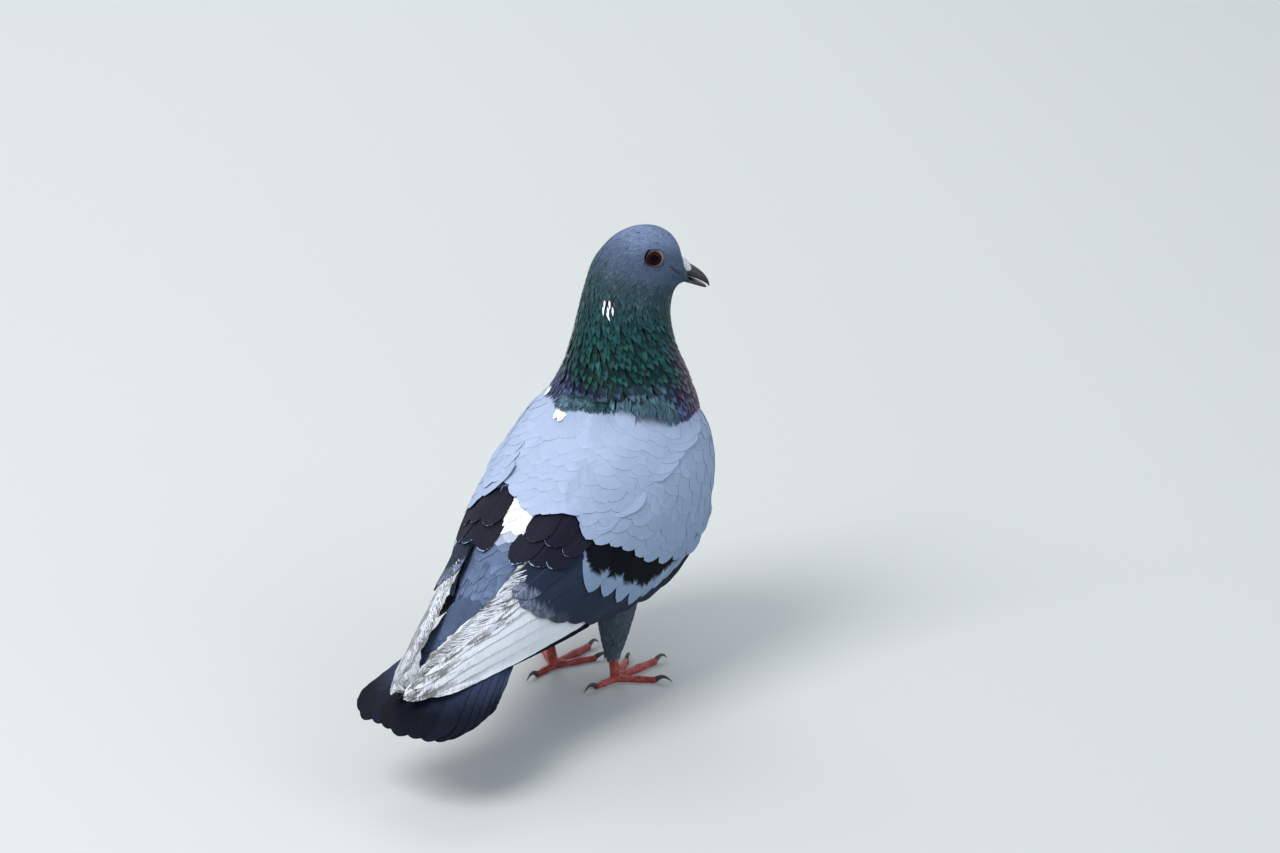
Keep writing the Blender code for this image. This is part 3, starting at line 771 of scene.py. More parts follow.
class Coat(Parts):
    """Feathers gathered into one mesh of thin closed vanes.

    Its attributes are vane (share of the length, place across, a random number a feather), barb (millimetres
    along and across, share of the length) and marks (where the tip's shade begins, and how softly).
    """

    def lay(
        self, sheet, path, width, depth, shade, tip_shade=None, border=0.8, soft=0.2, edging=0.0, columns=5,
        shape=PLAIN_VANE, cup=0.03, sweep=0.5, thick=0.09, raise_by=0.0, roll=0.0, rag=(0.0, 0.0), lift=1.0,
        patch_size=0.003, strips=False
    ):
        """Vanes along paths, each a lens in section. A vane rises from depth below the surface at its root to
        the surface at its tip as -depth * (1 - t)^lift. It cups by a parabola and its edges trail by sweep.
        Roll tilts its far edge over the next one, and edging runs the tip's shade up its near edge."""
        count, rows = path.shape[:2]
        t = stations(rows)
        width, depth, raise_by, roll = (each(values, count) for values in (width, depth, raise_by, roll))
        centre, normal, along, across = sheet.slopes(path)
        ahead = flat_on(np.gradient(centre, axis=1), normal)
        beside = np.cross(normal, ahead)
        form = outline(t, *shape)
        half = width[:, None] / 2 * form
        y = np.linspace(-1, 1, columns)
        ring_y = np.concatenate([y, y[-2:0:-1]])
        far = ring_y * sheet.sign
        under = np.concatenate([np.zeros(columns), np.ones(columns - 2)])
        ragged = 1 - np.asarray(rag) * rng.random((count, rows, 2))
        reach = np.where(far < 0, ragged[..., 0:1], ragged[..., 1:2]) * ring_y * half[..., None]
        trail = sweep * half[..., None] * (0.5 - ring_y**2) * smooth((t[:, None] - 0.15) * 2)
        move = beside[:, :, None] * reach[..., None] + ahead[:, :, None] * trail[..., None]
        steps = sheet.steps_for(along[:, :, None], across[:, :, None], move)
        at = path[:, :, None] + steps
        height = raise_by[:, None] - depth[:, None] * (1 - t) ** lift
        height = height[..., None] + cup * half[..., None] * (1 - ring_y**2) + roll[:, None, None] * reach
        height = height - under * thick * (1 - ring_y**2)
        points = sheet.at(at[..., 0], at[..., 1]) + normal[:, :, None] * height[..., None]
        span = np.linalg.norm(np.diff(centre, axis=1), axis=-1)
        run = np.concatenate([np.zeros((count, 1)), np.cumsum(span, 1)], 1)
        full = (count, rows, len(ring_y))
        lit = t[None, :, None] + edging * np.clip(-far, 0, 1) ** 3
        vane = joined(lit, ring_y, rng.random(count)[:, None, None])
        barb = joined(run[..., None] + trail, reach, t[:, None])
        marks = joined(*(each(values, count) for values in (border, soft, 0.0)))
        if strips:
            strip = np.arange(count)[:, None, None] + 0.5 + 0.42 * ring_y
            uv = joined(strip / count, 0.02 + 0.96 * t[:, None])
        else:
            local = joined(ring_y * 0.5 * form[:, None], t[:, None] - 0.5)
            uv = sheet.unwrap(path[:, 0])[:, None, None] + local * patch_size
        self.add(
            points, tube_faces(rows, len(ring_y), count), uv=np.broadcast_to(uv, full + (2,)), vane=vane,
            barb=barb, marks=np.broadcast_to(marks[:, None, None], full + (3,)), shade=spread(shade, full),
            tip_shade=spread(shade if tip_shade is None else tip_shade, full)
        )


def each(values, count):
    """One number a feather."""
    return np.broadcast_to(np.asarray(values, float), count)


def whole(colour):
    """Colours with a fourth number, as the attribute needs."""
    return np.concatenate([colour, np.ones(colour.shape[:-1] + (1,))], -1)


def spread(colours, full):
    """One colour a feather, at each of its points."""
    colours = whole(np.broadcast_to(colours, (full[0], 3)))
    return np.broadcast_to(colours[:, None, None], full + (4,))


def vary(colours, amount=0.06, count=None):
    """Each feather's colour a little lighter or darker than its neighbours'."""
    colours = np.broadcast_to(colours, (count or len(colours), 3))
    return colours * (1 + amount * rng.normal(size=(len(colours), 1)))


def tree_of(points):
    """A search tree of points."""
    tree = KDTree(len(points))
    for index, place in enumerate(points):
        tree.insert(place, index)
    tree.balance()
    return tree


def scatter(sheet, low, high, spacing, tries):
    """Roots at least a spacing apart: tries random parameters, keeps each that has no kept one too near."""
    at = rng.uniform(low, high, (tries, 2))
    gap = spacing(at[:, 0], at[:, 1])
    point, _, along, across = sheet.slopes(at)
    area = np.linalg.norm(np.cross(along, across), axis=-1) / np.maximum(gap, 0.1) ** 2
    keep = (gap > 0) & (rng.random(tries) * np.quantile(area[gap > 0], 0.98) < area)
    at, gap, point = at[keep], gap[keep], point[keep]
    tree = tree_of(point)
    kept = np.ones(len(at), bool)
    for index, place in enumerate(point):
        if kept[index]:
            near = [other for _, other, _ in tree.find_range(place, gap[index]) if other > index]
            kept[near] = False
    return at[kept], point[kept]


def against(sheet, at, angle):
    """The heading against the first parameter, turned in the surface by an angle for each feather."""
    _, normal, along, _ = sheet.slopes(at)
    heading, angle = unit(-along), angle[:, None]
    return heading * np.cos(angle) + np.cross(normal, heading) * np.sin(angle)


def backwards(sheet, at, sideways=0.0, scatter_by=0.07):
    """The heading against the first parameter, turned by an angle, with a little scatter."""
    return against(sheet, at, each(sideways, len(at)) + rng.normal(0, scatter_by, len(at)))


def nearness(points, cover):
    """How far each point is from the nearest one of a cloud."""
    tree = tree_of(cover.reshape(-1, 3))
    return np.array([tree.find(place)[2] for place in points])


def under_wing(points, reach=8.0):
    """Which body points lie hidden beneath the middle of a folded wing."""
    along, across = crossed(np.linspace(0.08, 0.8, 60), np.linspace(0.1, 0.84, 30))
    return np.minimum(*(nearness(points, sheet.at(along, across)) for sheet in WINGS.values())) < reach


def about_eye(points, sign):
    """Distance of points from one eye's axis, their height along it over the eyeball's centre, and it."""
    eye = on_head(EYE, sign)
    out = on_head(EYE + [0, 1, 0], sign) - eye
    height = (points - eye) @ out
    return np.linalg.norm(points - eye - height[..., None] * out, axis=-1), height, out


def eye_dip(radius, height, level):
    """How far the face sinks round an eye, so that it meets the lids at a level over the eyeball's centre."""
    return np.maximum(height - level, 0) * smooth((6.6 - radius) / 2.0)


def cere_dip(points, sign):
    """How far the face sinks round one lobe of the cere, above the line of the mouth."""
    away = np.linalg.norm(points - on_head(CERE, sign), axis=-1)
    return 2.2 * smooth((7.8 - away) / 3.2) * smooth((points[..., 2] - MOUTH_LEVEL) / 2.5)


def head_feathers():
    def spacing(at, theta):
        return np.where(at > 19.7, 0, 1.2 - 0.5 * smooth((at - 13.5) / 6))

    at, _ = scatter(BODY, (HEAD_FROM, 0), (19.8, TURN), spacing, tries=60000)
    face = smooth((at[:, 0] - 13) / 5)
    length = (5.2 - 2.8 * face) * rng.uniform(0.9, 1.1, len(at))
    path = flow(BODY, at, backwards(BODY, at, 0.0, 0.05), length, 5)
    point = body(path[..., 0], path[..., 1])
    clear, dip = np.ones(len(at), bool), 0.0
    for sign in (1, -1):
        radius, height, _ = about_eye(point, sign)
        clear &= ((radius > EYE_CLEAR) | (height < 0)).all(-1)
        middle, level = point[:, 2], height[:, 2]
        dip = dip + eye_dip(radius[:, 2], level, LID_LEVEL) * (level > 0)
        dip = dip + cere_dip(middle, sign) * (level > -8)
        clear &= (np.linalg.norm(point - on_head(CERE, sign), axis=-1) > CERE_CLEAR).all(-1)
    path, face, dip = path[clear], face[clear], dip[clear]
    shade = vary(body_colour(*path[:, 3].T), 0.08)
    coat = Coat()
    coat.lay(
        BODY, path, 2.4 - 1.0 * face, 0.3 - 0.14 * face, shade * 0.9, shade * 1.1, border=0.7, columns=3,
        shape=FACE_VANE, cup=0.02, thick=0.03, raise_by=0.05 - dip
    )
    piece = coat.made("head_feathers", plumage("head_plumage", 0.32, relief=0.3, fine=2.0, roughness=0.7))


def neck_feathers():
    """Lance-shaped feathers with dark bases and glossy tips, then a hem of hair-fine ones over the saddle."""
    def spacing(at, theta):
        return np.where(at < neck_line(theta) + 0.2, 0, 2.75 - 1.35 * smooth((at - 8) / 4.5))

    at, _ = scatter(BODY, (6.2, 0), (14.2, TURN), spacing, tries=40000)
    high = smooth((at[:, 0] - 8) / 4.5)
    path = flow(BODY, at, backwards(BODY, at), (11.0 - 5.2 * high) * rng.uniform(0.8, 1.15, len(at)), 7)
    kept = path[:, -1, 0] > neck_line(at[:, 1]) + 0.1
    at, high, path = at[kept], high[kept], path[kept]
    width = (4.3 - 2.0 * high) * rng.uniform(0.8, 1.15, len(at))
    colour = body_colour(np.maximum(path[:, 5, 0], neck_line(at[:, 1]) + 0.6), at[:, 1])
    gloss = np.exp(
        rng.normal(0, 0.24, (len(at), 1))
        + rng.normal(0, (0.16, 0.07, 0.16), (len(at), 3)) * (1 - 0.8 * high[:, None])
    )
    coat = Coat()
    lower = smooth((neck_line(at[:, 1]) + 2.2 - at[:, 0]) / 1.2)
    base = vary(colour * (0.2 + 0.3 * high[:, None]), 0.1)
    for part, columns in ((high < 0.5, 5), (high >= 0.5, 3)):
        edge = (high[part], lower[part])
        coat.lay(
            BODY, path[part], width[part], 1.7 - 1.1 * edge[0], base[part], (colour * gloss)[part],
            border=0.62 - 0.3 * edge[0], soft=0.2, shape=LANCE, cup=0.12, thick=0.1,
            raise_by=0.1 + 0.8 * edge[1], rag=(0.12, 0.12), columns=columns
        )
    piece = coat.made("neck_feathers", plumage("neck_plumage", 0.45, 0.3, 0.4, 0.45, 1.6, Metallic=0.25))
    coat = Coat()
    for count, raised in ((1000, 0.5), (700, 0.9)):
        hem = joined(np.zeros(count), rng.uniform(0, TURN, count))
        hem[:, 0] = neck_line(hem[:, 1]) + rng.uniform(0.2, 1.0, count)
        path = flow(BODY, hem, backwards(BODY, hem, 0.0, 0.12), rng.uniform(5.5, 8.5, count), 5)
        path = path[path[:, -1, 0] > neck_line(hem[:, 1]) - 0.3]
        shade = body_colour(np.maximum(path[:, 0, 0], neck_line(path[:, 0, 1]) + 0.5), path[:, 0, 1])
        coat.lay(BODY, path, rng.uniform(0.7, 1.6, len(path)), 0.9, vary(shade * 0.9, 0.15), columns=3,
                 shape=HAIR, thick=0.08, raise_by=raised)
    for scattered, count, length, width, raised, shape in (
        (False, 600, 4.5, 1.1, 0.75, HAIR),
        (True, 150, 8.0, 3.4, 1.1, LANCE),
    ):
        across = rng.uniform(0.4, 5.5, count)
        front = saddle_front(across)
        over, edge = rng.uniform(-0.1, 0.85, count) * front, front + rng.uniform(-0.05, 0.015, count)
        reach = over if scattered else edge
        long = length * rng.uniform(0.8, 1.2, count)
        slope = np.linalg.norm(MANTLE.slopes(joined(reach, across))[2], axis=-1)
        at = joined(np.maximum(reach - long / slope, -0.08), across)
        path = flow(MANTLE, at, -backwards(MANTLE, at, 0.0, 0.12), (reach - at[:, 0]) * slope, 6)
        stops = np.array([VIOLET_SLATE, HEM * 0.85, blend(HEM, TEAL, 0.5), TEAL * 1.3, HEM * 0.8, PURPLE])
        shade = joined(*(np.interp(across, (1.0, 2.2, 3.2, 4.2, 5.2, 5.8), channel) for channel in stops.T))
        gloss = vary(shade, 0.3)
        coat.lay(
            MANTLE, path, width * rng.uniform(0.7, 1.3, count), 0.9, gloss * 0.35, gloss, border=0.45,
            columns=3, shape=shape, thick=0.08, raise_by=raised
        )
    piece = coat.made("neck_hem", plumage("hem_plumage", 0.45, 0.3, 0.6, 0.45, 1.6))
    flecks(((11.75, 304), (12.0, 307.5), (11.7, 311), (11.95, 314.5), (11.65, 318), (11.45, 314)))


def flecks(places):
    """A few narrow white feathers on the right of the neck, and two broad ones at its foot on the left."""
    at = np.array(places, float) * [1, math.pi / 180]
    coat = Coat()
    path = flow(BODY, at, backwards(BODY, at, 0.0, 0.1), np.full(len(at), 4.2), 6)
    coat.lay(BODY, path, 1.0, 0.5, vary(WHITE, 0.04, len(at)), shape=FLECK, raise_by=0.55, cup=0.1)
    at = np.array([(7.85, 0.85), (7.75, 1.0)])
    path = flow(BODY, at, backwards(BODY, at), np.full(2, 7.0), 6)
    coat.lay(BODY, path, 3.8, 1.4, vary(WHITE, 0.02, 2), shape=SOFT_TIP, raise_by=1.5)
    piece = coat.made("neck_flecks", plumage("fleck_plumage", 0.2))


def trunk_feathers():
    """Contour feathers of the breast, belly, flanks and loins, left out where wings and saddle hide them."""
    def spacing(at, theta):
        return np.where(at > neck_line(theta) + 0.6, 0, 4.7)

    at, point = scatter(BODY, (0.2, 0), (9.2, TURN), spacing, tries=24000)
    saddle = (at[:, 0] > 3.4) & (np.cos(at[:, 1]) > 0.9)
    clear = ~under_wing(point) & ~saddle
    at, point = at[clear], point[clear]
    down = down_of(at[:, 1])
    length = 17.0 * rng.uniform(0.9, 1.1, len(at)) + 4 * smooth((2.5 - at[:, 0]) / 2)
    path = flow(BODY, at, backwards(BODY, at), length, 8)
    colour = vary(body_colour(*path[:, 6].T), 0.035)
    for name, part in (("back_feathers", down < 0.5), ("belly_feathers", down >= 0.5)):
        coat = Coat()
        coat.lay(
            BODY, path[part], 12.5 - 2.5 * down[part], 0.9, colour[part] * 0.93, colour[part] * 1.04,
            border=0.7, soft=0.25, shape=SOFT_TIP, rag=(0.16, 0.16)
        )
        piece = coat.made(name, plumage(name.replace("feathers", "plumage"), 0.16, 0.04, 0.8, 0.35))


def saddle_front(across):
    """Where the saddle comes out from under the neck feathers."""
    return np.interp(
        across, (0, 1, 2, 2.5, 3, 4, 4.6, 5, 5.5, 6),
        (0.04, 0.12, 0.16, 0.17, 0.14, 0.1, 0.15, 0.18, 0.13, 0.05)
    )


def saddle_end(across):
    """Where the tips of the saddle's last feathers lie."""
    return np.interp(across, (0, 1.1, 1.5, 2.4, 3.1, 3.6, 4.3, 4.8, 5.2, 6),
                     (0.75, 0.86, 0.80, 0.88, 0.97, 0.98, 0.95, 0.93, 0.89, 0.92))


def saddle_feathers():
    """Broad soft feathers of mantle and shoulders, from wing to wing, with two white ones on the left."""
    def spacing(along, across):
        shown = (along < saddle_end(across) - 0.2) & (along > saddle_front(across) - 0.12)
        return np.where(shown, 5.6, 0)

    at, _ = scatter(MANTLE, (-0.12, 0.1), (1.0, 5.9), spacing, tries=9000)
    edge = np.linspace(0.3, 5.8, 19) + rng.normal(0, 0.04, 19)
    edge = joined(saddle_end(edge) - 0.19 + rng.normal(0, 0.012, 19), edge)
    at = np.concatenate([at, edge])
    length = 19.0 * rng.uniform(0.92, 1.08, len(at))
    path = flow(MANTLE, at, -backwards(MANTLE, at), length, 8)
    side = np.abs(at[:, 1] - 3)
    shade = vary(blend(PALE, COVERT, 0.1 + 0.3 * smooth((side - 1) / 2)), 0.03)
    coat = Coat()
    coat.lay(
        MANTLE, path, 14.5, 0.45, shade * 0.98, shade * 1.02, border=0.72, soft=0.2, shape=SOFT_TIP,
        rag=(0.06, 0.06), raise_by=0.6 - 0.3 * smooth(side - 1.9), columns=7, cup=0.01, thick=0.05
    )
    white = np.array([(0.13, 2.2), (0.15, 2.4)])
    path = flow(MANTLE, white, -backwards(MANTLE, white, 0.0, 0.15), np.full(2, 6.0), 8)
    coat.lay(
        MANTLE, path, 4.4, 1.4, vary(WHITE, 0.02, 2), shape=SOFT_TIP, raise_by=1.4, columns=7, rag=(0.3, 0.3)
    )
    piece = coat.made("saddle_feathers", plumage("saddle_plumage", 0.12, 0.03, 0.8, 0.3))


# ---------------------------------------------------------------- wings

# Where the tips of a row lie: across the wing, then along it.
COVERT_EDGE = np.array([
    (0, 0.60), (0.10, 0.58), (0.2, 0.56), (0.3, 0.572), (0.35, 0.574), (0.45, 0.554),
    (0.57, 0.526), (0.7, 0.505), (0.83, 0.46), (0.93, 0.41), (1, 0.37),
])


def edge_at(edge, across):
    """Where along the wing a row's tips lie, read between the knots of its edge."""
    return np.interp(across, edge[:, 0], edge[:, 1])


def row_of(sheet, tips, slant, length, rows, hand=None):
    """Feathers given by their tips: back up the surface by a length at a slant, then straight down again."""
    slant = each(np.asarray(slant) * (hand or sheet.sign), len(tips))
    back = flow(sheet, tips, against(sheet, tips, slant), each(length, len(tips)), rows)
    return straight(back[:, -1], tips, rows)


def spaced(count, low=0.0, high=1.0, jitter=0.12):
    """Evenly spaced numbers with a little scatter."""
    step = (high - low) / max(count - 1, 1)
    return np.linspace(low, high, count) + rng.normal(0, jitter * step, count)


def wing_coverts(side):
    """Lesser coverts scattered over the shoulder, rows of median ones, and the greater ones of the bar."""
    sheet, coat = WINGS[side], Coat()

    def spacing(along, across):
        edge = edge_at(COVERT_EDGE, np.clip(across, 0, 1))
        hidden = (across < 0.2) & (along > 0.12)
        return np.where((along > edge - 0.10) | hidden, 0, 4.0 + 1.6 * smooth(along / 0.35))

    at, _ = scatter(sheet, (0.0, 0.0), (0.6, 1.0), spacing, tries=9000)
    size = smooth(at[:, 0] / 0.35)
    length = (12.5 + 5.5 * size) * rng.uniform(0.92, 1.08, len(at))
    shade = vary(blend(PALE, COVERT, 0.1 + 0.8 * at[:, 1]), 0.03)
    path = flow(sheet, at, -backwards(sheet, at, -0.15 * sheet.sign), length, 8)
    coat.lay(
        sheet, path, 8.8 + 5.0 * size, 0.4, shade * 0.98, shade * 1.02, border=0.72, soft=0.2, shape=SOFT_TIP,
        rag=(0.06, 0.06), raise_by=0.1, cup=0.01, thick=0.05
    )
    for back, count, reach in ((0.07, 11, 19), (0.035, 11, 21), (0.0, 11, 23)):
        across = spaced(count, 0.16, 0.99)
        tips = joined(edge_at(COVERT_EDGE, across) - back + rng.normal(0, 0.004, count), across)
        shade = vary(blend(PALE, COVERT, 0.15 + 0.85 * across), 0.03)
        path = row_of(sheet, tips, 0.35, reach, 10)
        coat.lay(
            sheet, path, 14.5, 0.7, shade * 0.98, shade * 1.02, border=0.8, soft=0.15, shape=SOFT_TIP,
            rag=(0.05, 0.05), columns=7, raise_by=0.1 + back * 2, roll=0.03 * sheet.sign, patch_size=0.009,
            cup=0.02, thick=0.07
        )
    count = 9
    order = np.linspace(0, 1, count)
    tips = joined(0.617 - 0.235 * order, 0.69 + 0.31 * np.minimum(order / 0.34, 1))
    roots = tips - joined(0.125 - 0.02 * order, 0.60 - 0.22 * order)
    shade = vary(BAR, 0.12, count)
    grey = vary(GREY_TIP, 0.05, count)
    path = straight(roots, tips, 18)
    coat.lay(
        sheet, path, 15.5 - 2 * order, 1.6, shade, grey, border=0.74 + 0.02 * order, soft=0.07, edging=0.18,
        shape=BAR_VANE, rag=(0.04, 0.04), columns=9, raise_by=-0.25, roll=0.09 * sheet.sign, patch_size=0.009
    )
    piece = coat.made(f"wing_coverts_{side}", plumage(f"covert_plumage_{side}", 0.12, 0.06, 0.78, 0.3))
    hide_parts(f"wing_{side}")


def flight_feathers(side):
    """Secondaries by their tips, and ten primaries from the hand to the wing tip, the inner ones shorter."""
    sheet, coat = WINGS[side], Coat()
    tips = np.array([(0.736, 0.22), (0.738, 0.36), (0.727, 0.53), (0.705, 0.68), (0.672, 0.80), (0.637, 0.90),
                     (0.602, 0.95), (0.565, 0.965), (0.52, 0.98), (0.47, 0.985)])
    count = len(tips)
    order = np.linspace(0, 1, count)
    path = row_of(sheet, tips, np.linspace(-0.12, 0.3, count), 60, 22)
    dark = vary(DARK_SLATE * 0.4, 0.12, count)
    mottled = vary(MOTTLE, 0.08, count) * (0.7 - 0.6 * smooth(order * 3.2 - 0.4))[:, None]
    coat.lay(
        sheet, path, 14.5 - 2 * order, 1.6, dark, mottled, border=0.81 - 0.05 * order, soft=0.08,
        shape=LONG_VANE, rag=(0.05, 0.05), columns=9, raise_by=-0.75, roll=0.08 * sheet.sign, thick=0.2
    )
    finish = plumage(f"secondary_plumage_{side}", 0.3, 1.1, 0.7, 0.35, mottle=(0.6, 0.5, 0.3))
    piece = coat.made(f"secondaries_{side}", finish)
    tips = np.array([(0.765, 0.12), (0.803, 0.12), (0.84, 0.19), (0.868, 0.10), (0.902, -0.04),
                     (0.937, -0.06), (0.967, 0.08), (0.986, 0.32), (0.992, 0.58), (0.955, 0.88)])
    roots = joined(np.linspace(0.46, 0.60, 10), np.linspace(0.35, 0.9, 10))
    if side == "left":
        tips[:, 1] = np.maximum(tips[:, 1], 0.2)
    coat = Coat()
    path = straight(roots, tips, 44)
    # The left wing's primaries are the same white at 0.8: painted shade on the far wing.
    white = vary(PRIMARY * (1.0 if side == "right" else 0.8), 0.02, 10)
    order = np.linspace(0, 1, 10)
    coat.lay(
        sheet, path, (12.5 if side == "right" else 10.5) - 2.5 * order, 1.0, white,
        blend(white, DIRT, 0.9 if side == "right" else 0.7), border=0.46 + 0.1 * order, soft=0.4,
        shape=LONG_VANE, cup=0.02, rag=(0.22, 0.05), columns=9, raise_by=-1.5, roll=0.09 * sheet.sign,
        thick=0.2
    )
    count = 240
    along = rng.uniform(0.69, 0.965, count)
    inner = 0.1 if side == "left" else 0.0
    margin = np.interp(along, (0.70, 0.86, 0.90, 0.97), (0.10, 0.10, -0.02, -0.04))
    loose = joined(along, margin + inner + rng.uniform(-0.02, 0.12, count))
    path = flow(sheet, loose, -backwards(sheet, loose, -0.5 * sheet.sign, 0.1), rng.uniform(5, 8, count), 5)
    soiled = 0.8 * smooth((along - 0.80) / 0.12) * rng.random(count) ** 0.5
    dirty = blend(PRIMARY * 0.85, DIRT * 1.3, soiled)
    coat.lay(sheet, path, rng.uniform(0.4, 0.8, count), 0.5, vary(dirty, 0.08), columns=3, shape=HAIR,
             thick=0.08, raise_by=-0.85)
    edge = np.array([[0.60, 1.0], [0.965, 0.95]])
    path = straight(edge[:1], edge[1:], 30)
    coat.lay(sheet, path, 8.0, 1.0, vary(BAR, 0.0, 1), shape=LONG_VANE, columns=7, raise_by=-2.4, thick=0.2)
    finish = plumage(f"primary_plumage_{side}", 0.22, 0.12, 0.7, 0.35, mottle=(1.0, 0.07, 0.4))
    piece = coat.made(f"primaries_{side}", finish)
    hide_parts(f"quills_{side}")


def tertials():
    """The broad dark feathers of the inner wing, which roof the rump, each tipped with a pale crescent."""
    coat = Coat()
    # Tip along and across the saddle's right half, slant, length, width, height; the left half mirrors it.
    rows = np.array([
        (1.33, 5.05, 0.0, 36, 15.0, -0.35),
        (1.385, 4.15, 0.0, 38, 15.0, 0.0),
        (1.24, 5.62, 0.0, 30, 13.5, 0.05),
        (1.12, 5.05, 0.0, 26, 12.0, 0.2),
        (1.175, 4.35, 0.1, 26, 13.0, 0.4),
        (1.06, 5.72, 0.0, 22, 11.0, 0.15),
    ])
    for hand in (1, -1):
        tips = joined(rows[:, 0] - (0.05 if hand < 0 else 0), 3 + hand * (rows[:, 1] - 3))
        path = row_of(MANTLE, tips, hand * rows[:, 2], rows[:, 3], 20, 1)
        shade = vary(BROWN_BLACK, 0.1, len(rows))
        coat.lay(
            MANTLE, path, rows[:, 4], 1.5, shade, blend(shade, GREY_TIP * 1.4, 0.9), border=0.95, soft=0.03,
            edging=0.03, shape=BROAD_VANE, rag=(0.05, 0.05), columns=9, raise_by=rows[:, 5], roll=0.04 * hand,
            thick=0.16, patch_size=0.009
        )
    piece = coat.made("tertial_feathers", plumage("tertial_plumage", 0.3, 0.6, 0.7, 0.35))


# ---------------------------------------------------------------- tail


def tail_feathers():
    """Twelve tail feathers in a fan, the middle pair on top, and the coverts over and under their roots."""
    coat = Coat()
    tips = np.array([(1.045, 0.97), (1.055, 0.80), (1.02, 0.55), (1.03, 0.32), (1.065, 0.06),
                     (1.055, -0.20), (1.05, -0.42), (1.035, -0.58), (1.005, -0.69), (0.955, -0.77),
                     (0.89, -0.81), (0.82, -0.85)])
    place = np.linspace(1, -1, 12)
    roots = joined(np.full(12, 0.02), place * 0.8)
    path = straight(roots, tips, 26)
    coat.lay(
        TAIL_TOP, path, 19.0 - 3 * np.abs(place), 0.8, vary(TAIL, 0.08, 12), vary(TAIL_END, 0.2, 12),
        border=0.42, soft=0.4, shape=TAIL_VANE, rag=(0.04, 0.04), columns=9,
        raise_by=0.6 - 2.2 * np.abs(place - 0.1), thick=0.2, roll=-0.04 * np.sign(place), strips=True
    )
    piece = coat.made("tail_feathers", plumage("tail_plumage", 0.25, 0.9, 0.7, 0.35))
    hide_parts("tail")
    coat = Coat()
    for low, high, shade, gap in (((-0.3, -1.0), (1.7, 1.0), SLATE, 3.6),
                                  ((-0.6, math.pi - 1.2), (1.6, math.pi + 1.2), SLATE * 0.8, 4.2)):
        def spacing(at, theta, gap=gap):
            return np.where((at < 0.6) & (np.cos(theta) > 0) & (theta < -0.35), 0, gap)

        at, _ = scatter(BODY, low, high, spacing, tries=3400)
        room = (at[:, 0] + 0.45) * np.linalg.norm(BODY.slopes(at)[2], axis=-1)
        at, room = at[room > 9], room[room > 9]
        length = np.minimum(24 * rng.uniform(0.8, 1.1, len(at)), room)
        path = flow(BODY, at, backwards(BODY, at, 0.0, 0.12), length, 10)
        colour = vary(blend(body_colour(*path[:, 6].T), shade, 0.5), 0.08)
        coat.lay(
            BODY, path, 8.5, 1.6, colour * 0.8, colour * 1.1, border=0.6, soft=0.3, rag=(0.45, 0.45),
            cup=0.06, raise_by=0.35, shape=RUMP_VANE
        )
    at = joined(rng.uniform(-0.05, 0.26, 70), rng.uniform(-0.4, 0.62, 70))
    path = flow(TAIL_TOP, at, -backwards(TAIL_TOP, at), rng.uniform(22, 28, 70), 10)
    shade = vary(blend(SLATE, TAIL, 0.5), 0.08, 70)
    coat.lay(TAIL_TOP, path, 11.0, 1.2, shade * 0.85, shade * 1.05, border=0.6, soft=0.3, rag=(0.3, 0.3),
             raise_by=2.2 - 3 * at[:, 0], shape=SOFT_TIP)
    piece = coat.made("tail_coverts", plumage("rump_plumage", 0.45, 0.08, 0.85, 0.45))


def thigh_feathers():
    coat = Coat()
    for sheet in THIGHS.values():
        at, _ = scatter(sheet, (0.12, 0), (1.0, TURN), lambda along, angle: 2.4 - 0.7 * along, tries=5000)
        length = (9.5 - 4.5 * at[:, 0]) * rng.uniform(0.9, 1.1, len(at))
        path = flow(sheet, at, -backwards(sheet, at), length, 6)
        # Slate at the knee, darker towards the shin: painted shade under the belly.
        colour = vary(blend(SLATE, THIGH_IN_SHADE, smooth(2.5 * at[:, 0] - 0.3)), 0.08)
        coat.lay(sheet, path, 4.6 - 1.6 * at[:, 0], 0.7, colour, rag=(0.15, 0.15), shape=THIGH_VANE, cup=0.1)
    piece = coat.made("thigh_feathers", plumage("thigh_plumage", 0.3, relief=0.3, fine=1.5))


# ---------------------------------------------------------------- skin, face and legs


def coat_depth(at):
    """How deep the skin lies under the plumage: 3.2 on the trunk, 2.4 on the neck and 0.5 on the head."""
    return 3.2 - 0.8 * smooth((at - 7) / 3) - 1.85 * smooth((at - 10.5) / 3) - 0.2 * smooth((at - 18.5) / 1.5)


